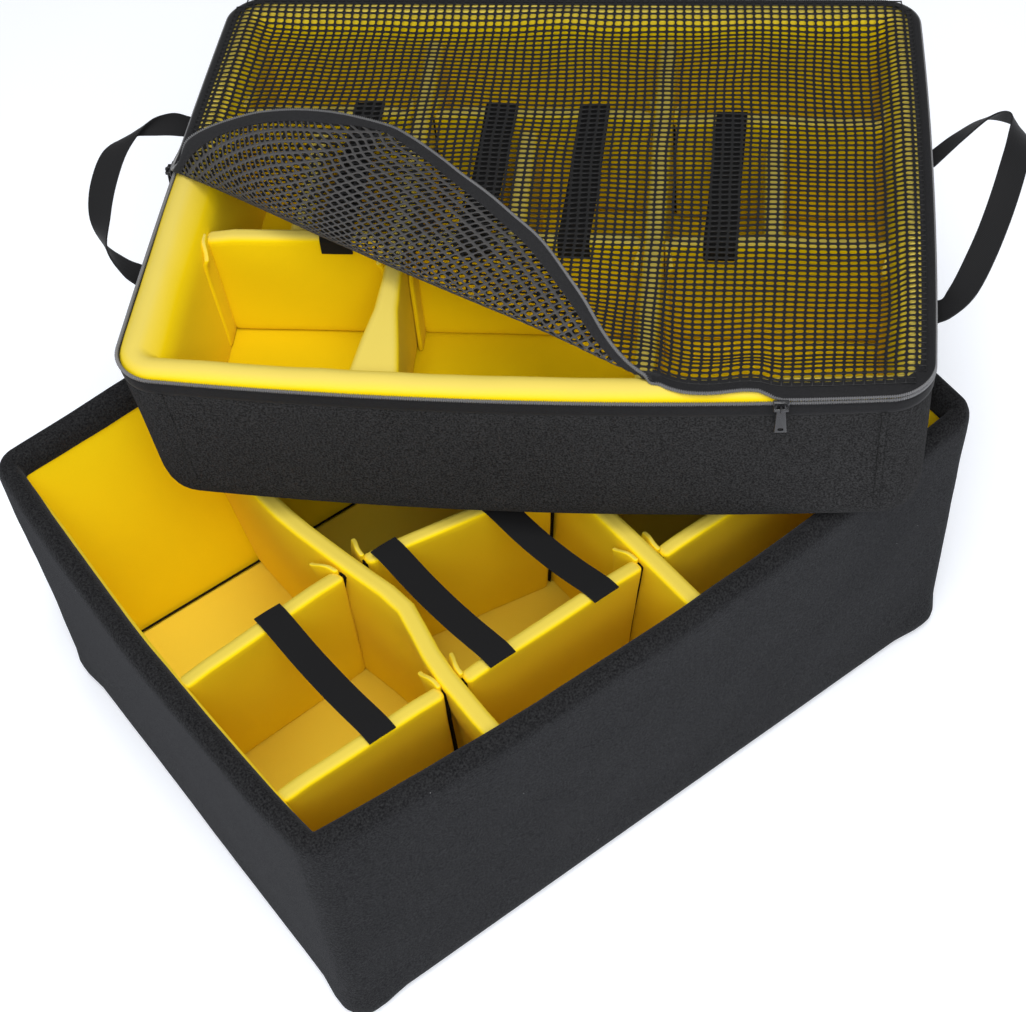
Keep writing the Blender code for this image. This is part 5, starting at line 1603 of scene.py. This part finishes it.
@dataclass
class Handles:
    """The two webbing handles and the tabs that hold them."""

    tray: Tray
    width: float = 0.025

    def build(self) -> None:
        """Builds each handle as a band that twists out from the wall, round and back."""
        paths = {
            "left": [((-0.3385, 0.0850, 0.1300), (0, 1, 0)), ((-0.3480, 0.0850, 0.1335), (0, 1, 0.1)),
                     ((-0.3640, 0.0800, 0.1400), (0.25, 1, 0.3)), ((-0.3850, 0.0640, 0.1470), (0.9, 0.8, 0.3)),
                     ((-0.3990, 0.0330, 0.1500), (1.0, 0.2, 0.1)), ((-0.4010, -0.0100, 0.1500), (1.0, 0.0, 0.1)),
                     ((-0.3960, -0.0520, 0.1480), (0.95, -0.3, 0.3)), ((-0.3850, -0.0860, 0.1430), (0.5, -0.9, 0.5)),
                     ((-0.3640, -0.1060, 0.1370), (0.15, -1, 0.2)), ((-0.3500, -0.1100, 0.1300), (0, -1, 0))],
            "right": [((0.3345, -0.1350, 0.1300), (0, -1, 0)), ((0.3430, -0.1340, 0.1350), (0.2, -0.9, 0.1)),
                      ((0.3560, -0.1200, 0.1420), (0.8, -0.6, 0.2)), ((0.3700, -0.0900, 0.1500), (1.0, -0.3, 0.2)),
                      ((0.3840, -0.0520, 0.1580), (1.0, -0.1, 0.2)), ((0.3970, -0.0080, 0.1660), (1.0, 0.1, 0.0)),
                      ((0.4060, 0.0330, 0.1700), (0.8, 0.2, -0.5)), ((0.4040, 0.0640, 0.1680), (0.3, 0.4, -0.9)),
                      ((0.3850, 0.0800, 0.1580), (-0.2, 0.7, -0.8)), ((0.3600, 0.0700, 0.1440), (-0.2, 0.9, -0.5)),
                      ((0.3375, 0.0560, 0.1300), (0, 1, -0.1))],
        }
        for side, keys in paths.items():
            path = smooth_path([Vector(point) for point, _ in keys], 6)
            across = smooth_path([Vector(way).normalized() for _, way in keys], 6)
            band = move_mesh(ribbon(side + "_handle_band", path, across, self.width, 0.0015), self.tray.set)
            fit(band, Finish.WEBBING, side + "_handle", "webbing", side + "_handle")
        for node in ("left_handle_front_tab", "left_handle_rear_tab", "right_handle_front_tab",
                     "right_handle_rear_tab"):
            self.tab(node)

    def tab(self, node: str) -> None:
        """A tab of webbing sewn flat on the end wall, where the solid one is."""
        back = self.tray.matrix.inverted()
        corners = [back @ vert.co for vert in bpy.data.objects[node].data.vertices]
        side = -1 if node.startswith("left") else 1
        v_low, v_high = min(c.y for c in corners), max(c.y for c in corners)
        w_low, w_high = min(c.z for c in corners), max(c.z for c in corners)
        out = max(side * c.x for c in corners) - 0.0006
        path = []
        for share in (step / 10 for step in range(11)):
            swell = 0.0004 * math.sin(math.pi * share) - 0.0012 * (1 - share)
            path.append(Vector((side * (out + swell), (v_low + v_high) / 2, lerp(w_low, w_high + 0.0015, share))))
        band = ribbon(node + "_band", path, [Vector((0, 1, 0))] * len(path), min(self.width, v_high - v_low), 0.0013)
        fit(move_mesh(band, self.tray.set), Finish.WEBBING, "tray", "webbing", node)


@dataclass
class Sliders:
    """The two zip sliders and their pulls."""

    tray: Tray
    places: dict[str, tuple[float, float]] = field(
        default_factory=lambda: {"front": (0.2070, -0.25), "left": (-0.3275, 0.0060)})

    def frame(self, side: str) -> Matrix:
        """The slider's directions in the set: X along the zip, Y out of the wall and Z up."""
        u, v = self.places[side]
        step = Vector((0.015, 0, 0)) if side == "front" else Vector((0, 0.015, 0))
        flat = Vector((u, v, self.tray.height))
        ahead, behind = self.tray.shape(flat + step), self.tray.shape(flat - step)
        up = Vector((0, 0, 1))
        outward = (ahead - behind).cross(up).normalized()
        if outward.dot(flat) < 0:
            outward = -outward
        local = Matrix((outward.cross(up), outward, up)).transposed().to_4x4()
        local.translation = self.tray.shape(flat)
        return self.tray.matrix @ local

    def block(self, name: str, size: Vector, place: Vector, bevel: float) -> bpy.types.Object:
        """A small block with rounded edges."""
        deselect_all()
        bpy.ops.mesh.primitive_cube_add(size=1)
        piece = bpy.context.object
        piece.name = name
        move_mesh(piece, lambda p: Vector((p.x * size.x, p.y * size.y, p.z * size.z)) + place)
        apply_modifier(piece, "BEVEL", width=bevel, segments=3)
        return piece

    def body(self, name: str) -> bpy.types.Object:
        """A slider: a plate that narrows to one end, its folded edges, and the bridge that holds the pull."""
        plate = self.block(name, Vector((0.0130, 0.0018, 0.0096)), Vector((0, 0.0030, 0)), 0.0007)
        move_mesh(plate, lambda p: Vector((p.x, p.y, p.z * (0.86 if p.x < -0.003 else 1.0))))
        edges = [self.block(name, Vector((0.0120, 0.0024, 0.0013)), Vector((0, 0.0022, z)), 0.0005)
                 for z in (-0.0046, 0.0046)]
        bridge = [self.block(name, Vector((0.0016, 0.0040, 0.0034)), Vector((x, 0.0054, 0)), 0.0006)
                  for x in (-0.0052, 0.0052)]
        top = self.block(name, Vector((0.0120, 0.0014, 0.0030)), Vector((0, 0.0076, 0)), 0.0006)
        return join(name, [plate, *edges, *bridge, top])

    def pull(self, name: str) -> bpy.types.Object:
        """A pull: a tag that widens downwards, with a slot near its end and an eye over the bridge."""
        tag = self.block(name, Vector((0.0106, 0.0016, 0.0250)), Vector((0, 0.00685, -0.0140)), 0.0007)
        slot = self.block(name, Vector((0.0046, 0.0060, 0.0034)), Vector((0, 0.00685, -0.0222)), 0.0013)
        apply_modifier(tag, "BOOLEAN", operation="DIFFERENCE", object=slot)
        bpy.data.objects.remove(slot, do_unlink=True)

        def taper(point: Vector) -> Vector:
            """Narrow at the eye, wide and round at the foot."""
            width = lerp(0.70, 1.0, smoothstep(0.0, -0.022, point.z))
            foot = smoothstep(-0.0275, -0.0305, point.z)
            bend = 0.0003 * math.sin(point.z * 210)
            return Vector((point.x * width * (1 - 0.25 * foot), point.y + bend, point.z))

        move_mesh(tag, taper)
        deselect_all()
        bpy.ops.mesh.primitive_torus_add(major_radius=0.0024, minor_radius=0.0009, major_segments=20, minor_segments=8)
        eye = bpy.context.object
        move_mesh(eye, lambda p: Vector((p.z, p.y + 0.0066, p.x)))
        return join(name, [tag, eye])

    def build(self) -> None:
        """Builds both sliders and pulls in place of the plain ones."""
        for side in self.places:
            place = self.frame(side)
            for kind, made in (("slider", self.body(side + "_slider_body")), ("pull", self.pull(side + "_pull_tag"))):
                move_mesh(made, lambda p: place @ p)
                face_outwards(made)
                smooth(made, 35)
                fit(made, Finish.METAL, f"{side}_{kind}", "dark_metal", f"{side}_{kind}")


# ---------------------------------------------------------------- the stage


@dataclass
class Stage:
    """A pale floor, soft light and the camera at the photograph's angle."""

    focal_pixels: float = 2050.61
    frame_width: float = 1026.0
    sensor: float = 36.0
    place: Vector = field(default_factory=lambda: Vector((-0.6267, -1.0421, 1.6784)))
    heading: float = math.radians(57.879)
    dip: float = math.radians(50.418)
    roll: float = math.radians(-6.083)

    def camera(self) -> None:
        """The camera, solved from the photograph."""
        data = bpy.data.cameras.new("camera")
        data.sensor_width = self.sensor
        data.sensor_fit = "HORIZONTAL"
        data.lens = self.sensor * self.focal_pixels / self.frame_width
        data.clip_end = 50.0
        camera = bpy.data.objects.new("camera", data)
        bpy.context.collection.objects.link(camera)
        ahead = Vector((math.cos(self.heading) * math.cos(self.dip), math.sin(self.heading) * math.cos(self.dip),
                        -math.sin(self.dip)))
        level = Vector((math.sin(self.heading), -math.cos(self.heading), 0))
        upright = level.cross(ahead)
        right = math.cos(self.roll) * level + math.sin(self.roll) * upright
        up = -math.sin(self.roll) * level + math.cos(self.roll) * upright
        rotation = Matrix((right, up, -ahead)).transposed().to_4x4()
        camera.matrix_world = Matrix.Translation(self.place) @ rotation
        bpy.context.scene.camera = camera

    def light(self, name: str, place: Vector, aim: Vector, size: float, power: float) -> None:
        """A square soft light at a place, aimed at a point."""
        data = bpy.data.lights.new(name, "AREA")
        data.size = size
        data.energy = power
        lamp = bpy.data.objects.new(name, data)
        bpy.context.collection.objects.link(lamp)
        lamp.location = place
        lamp.rotation_euler = (aim - place).to_track_quat("-Z", "Y").to_euler()

    def floor(self) -> None:
        """The pale floor."""
        deselect_all()
        bpy.ops.mesh.primitive_grid_add(x_subdivisions=4, y_subdivisions=4, size=14)
        floor = bpy.context.object
        floor.name = "floor"
        floor.location.z = -0.0005
        made, shader, _ = new_material("pale_floor")
        feed(made.node_tree, shader, {"Base Color": (0.93, 0.95, 1.0, 1), "Roughness": 0.9,
                                      "Emission Color": (0.93, 0.96, 1.0, 1), "Emission Strength": 0.22})
        floor.data.materials.append(made)

    def build(self) -> None:
        """Sets the camera, the floor and the lights."""
        self.camera()
        self.floor()
        world = bpy.data.worlds.new("studio")
        world.use_nodes = True
        feed(world.node_tree, world.node_tree.nodes["Background"], {"Color": (0.95, 0.97, 1.0, 1), "Strength": 0.34})
        bpy.context.scene.world = world
        middle = (0.05, 0.0, 0.25)
        for name, place, aim, size, power in (
                ("key", (-0.35, -0.50, 3.0), (-0.1, -0.05, 0.15), 1.2, 44),
                ("front", (-0.95, -1.75, 2.6), (-0.1, -0.1, 0.15), 1.3, 52),
                ("side", (-2.6, -0.6, 1.0), middle, 1.6, 13),
                ("fill", (0.6, -2.6, 1.2), middle, 2.0, 9)):
            self.light(name, Vector(place), Vector(aim), size, power)
        bpy.context.scene.view_settings.view_transform = "Standard"


# ---------------------------------------------------------------- the whole


def main() -> None:
    """Loads the solids, builds every piece round them and sets the stage."""
    logging.basicConfig(level=logging.INFO, format="%(message)s")
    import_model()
    Stage().build()
    Box().build()
    tray = Tray()
    tray.build()
    Lid(tray).build()
    Handles(tray).build()
    Sliders(tray).build()


if __name__ == "__main__":
    main()
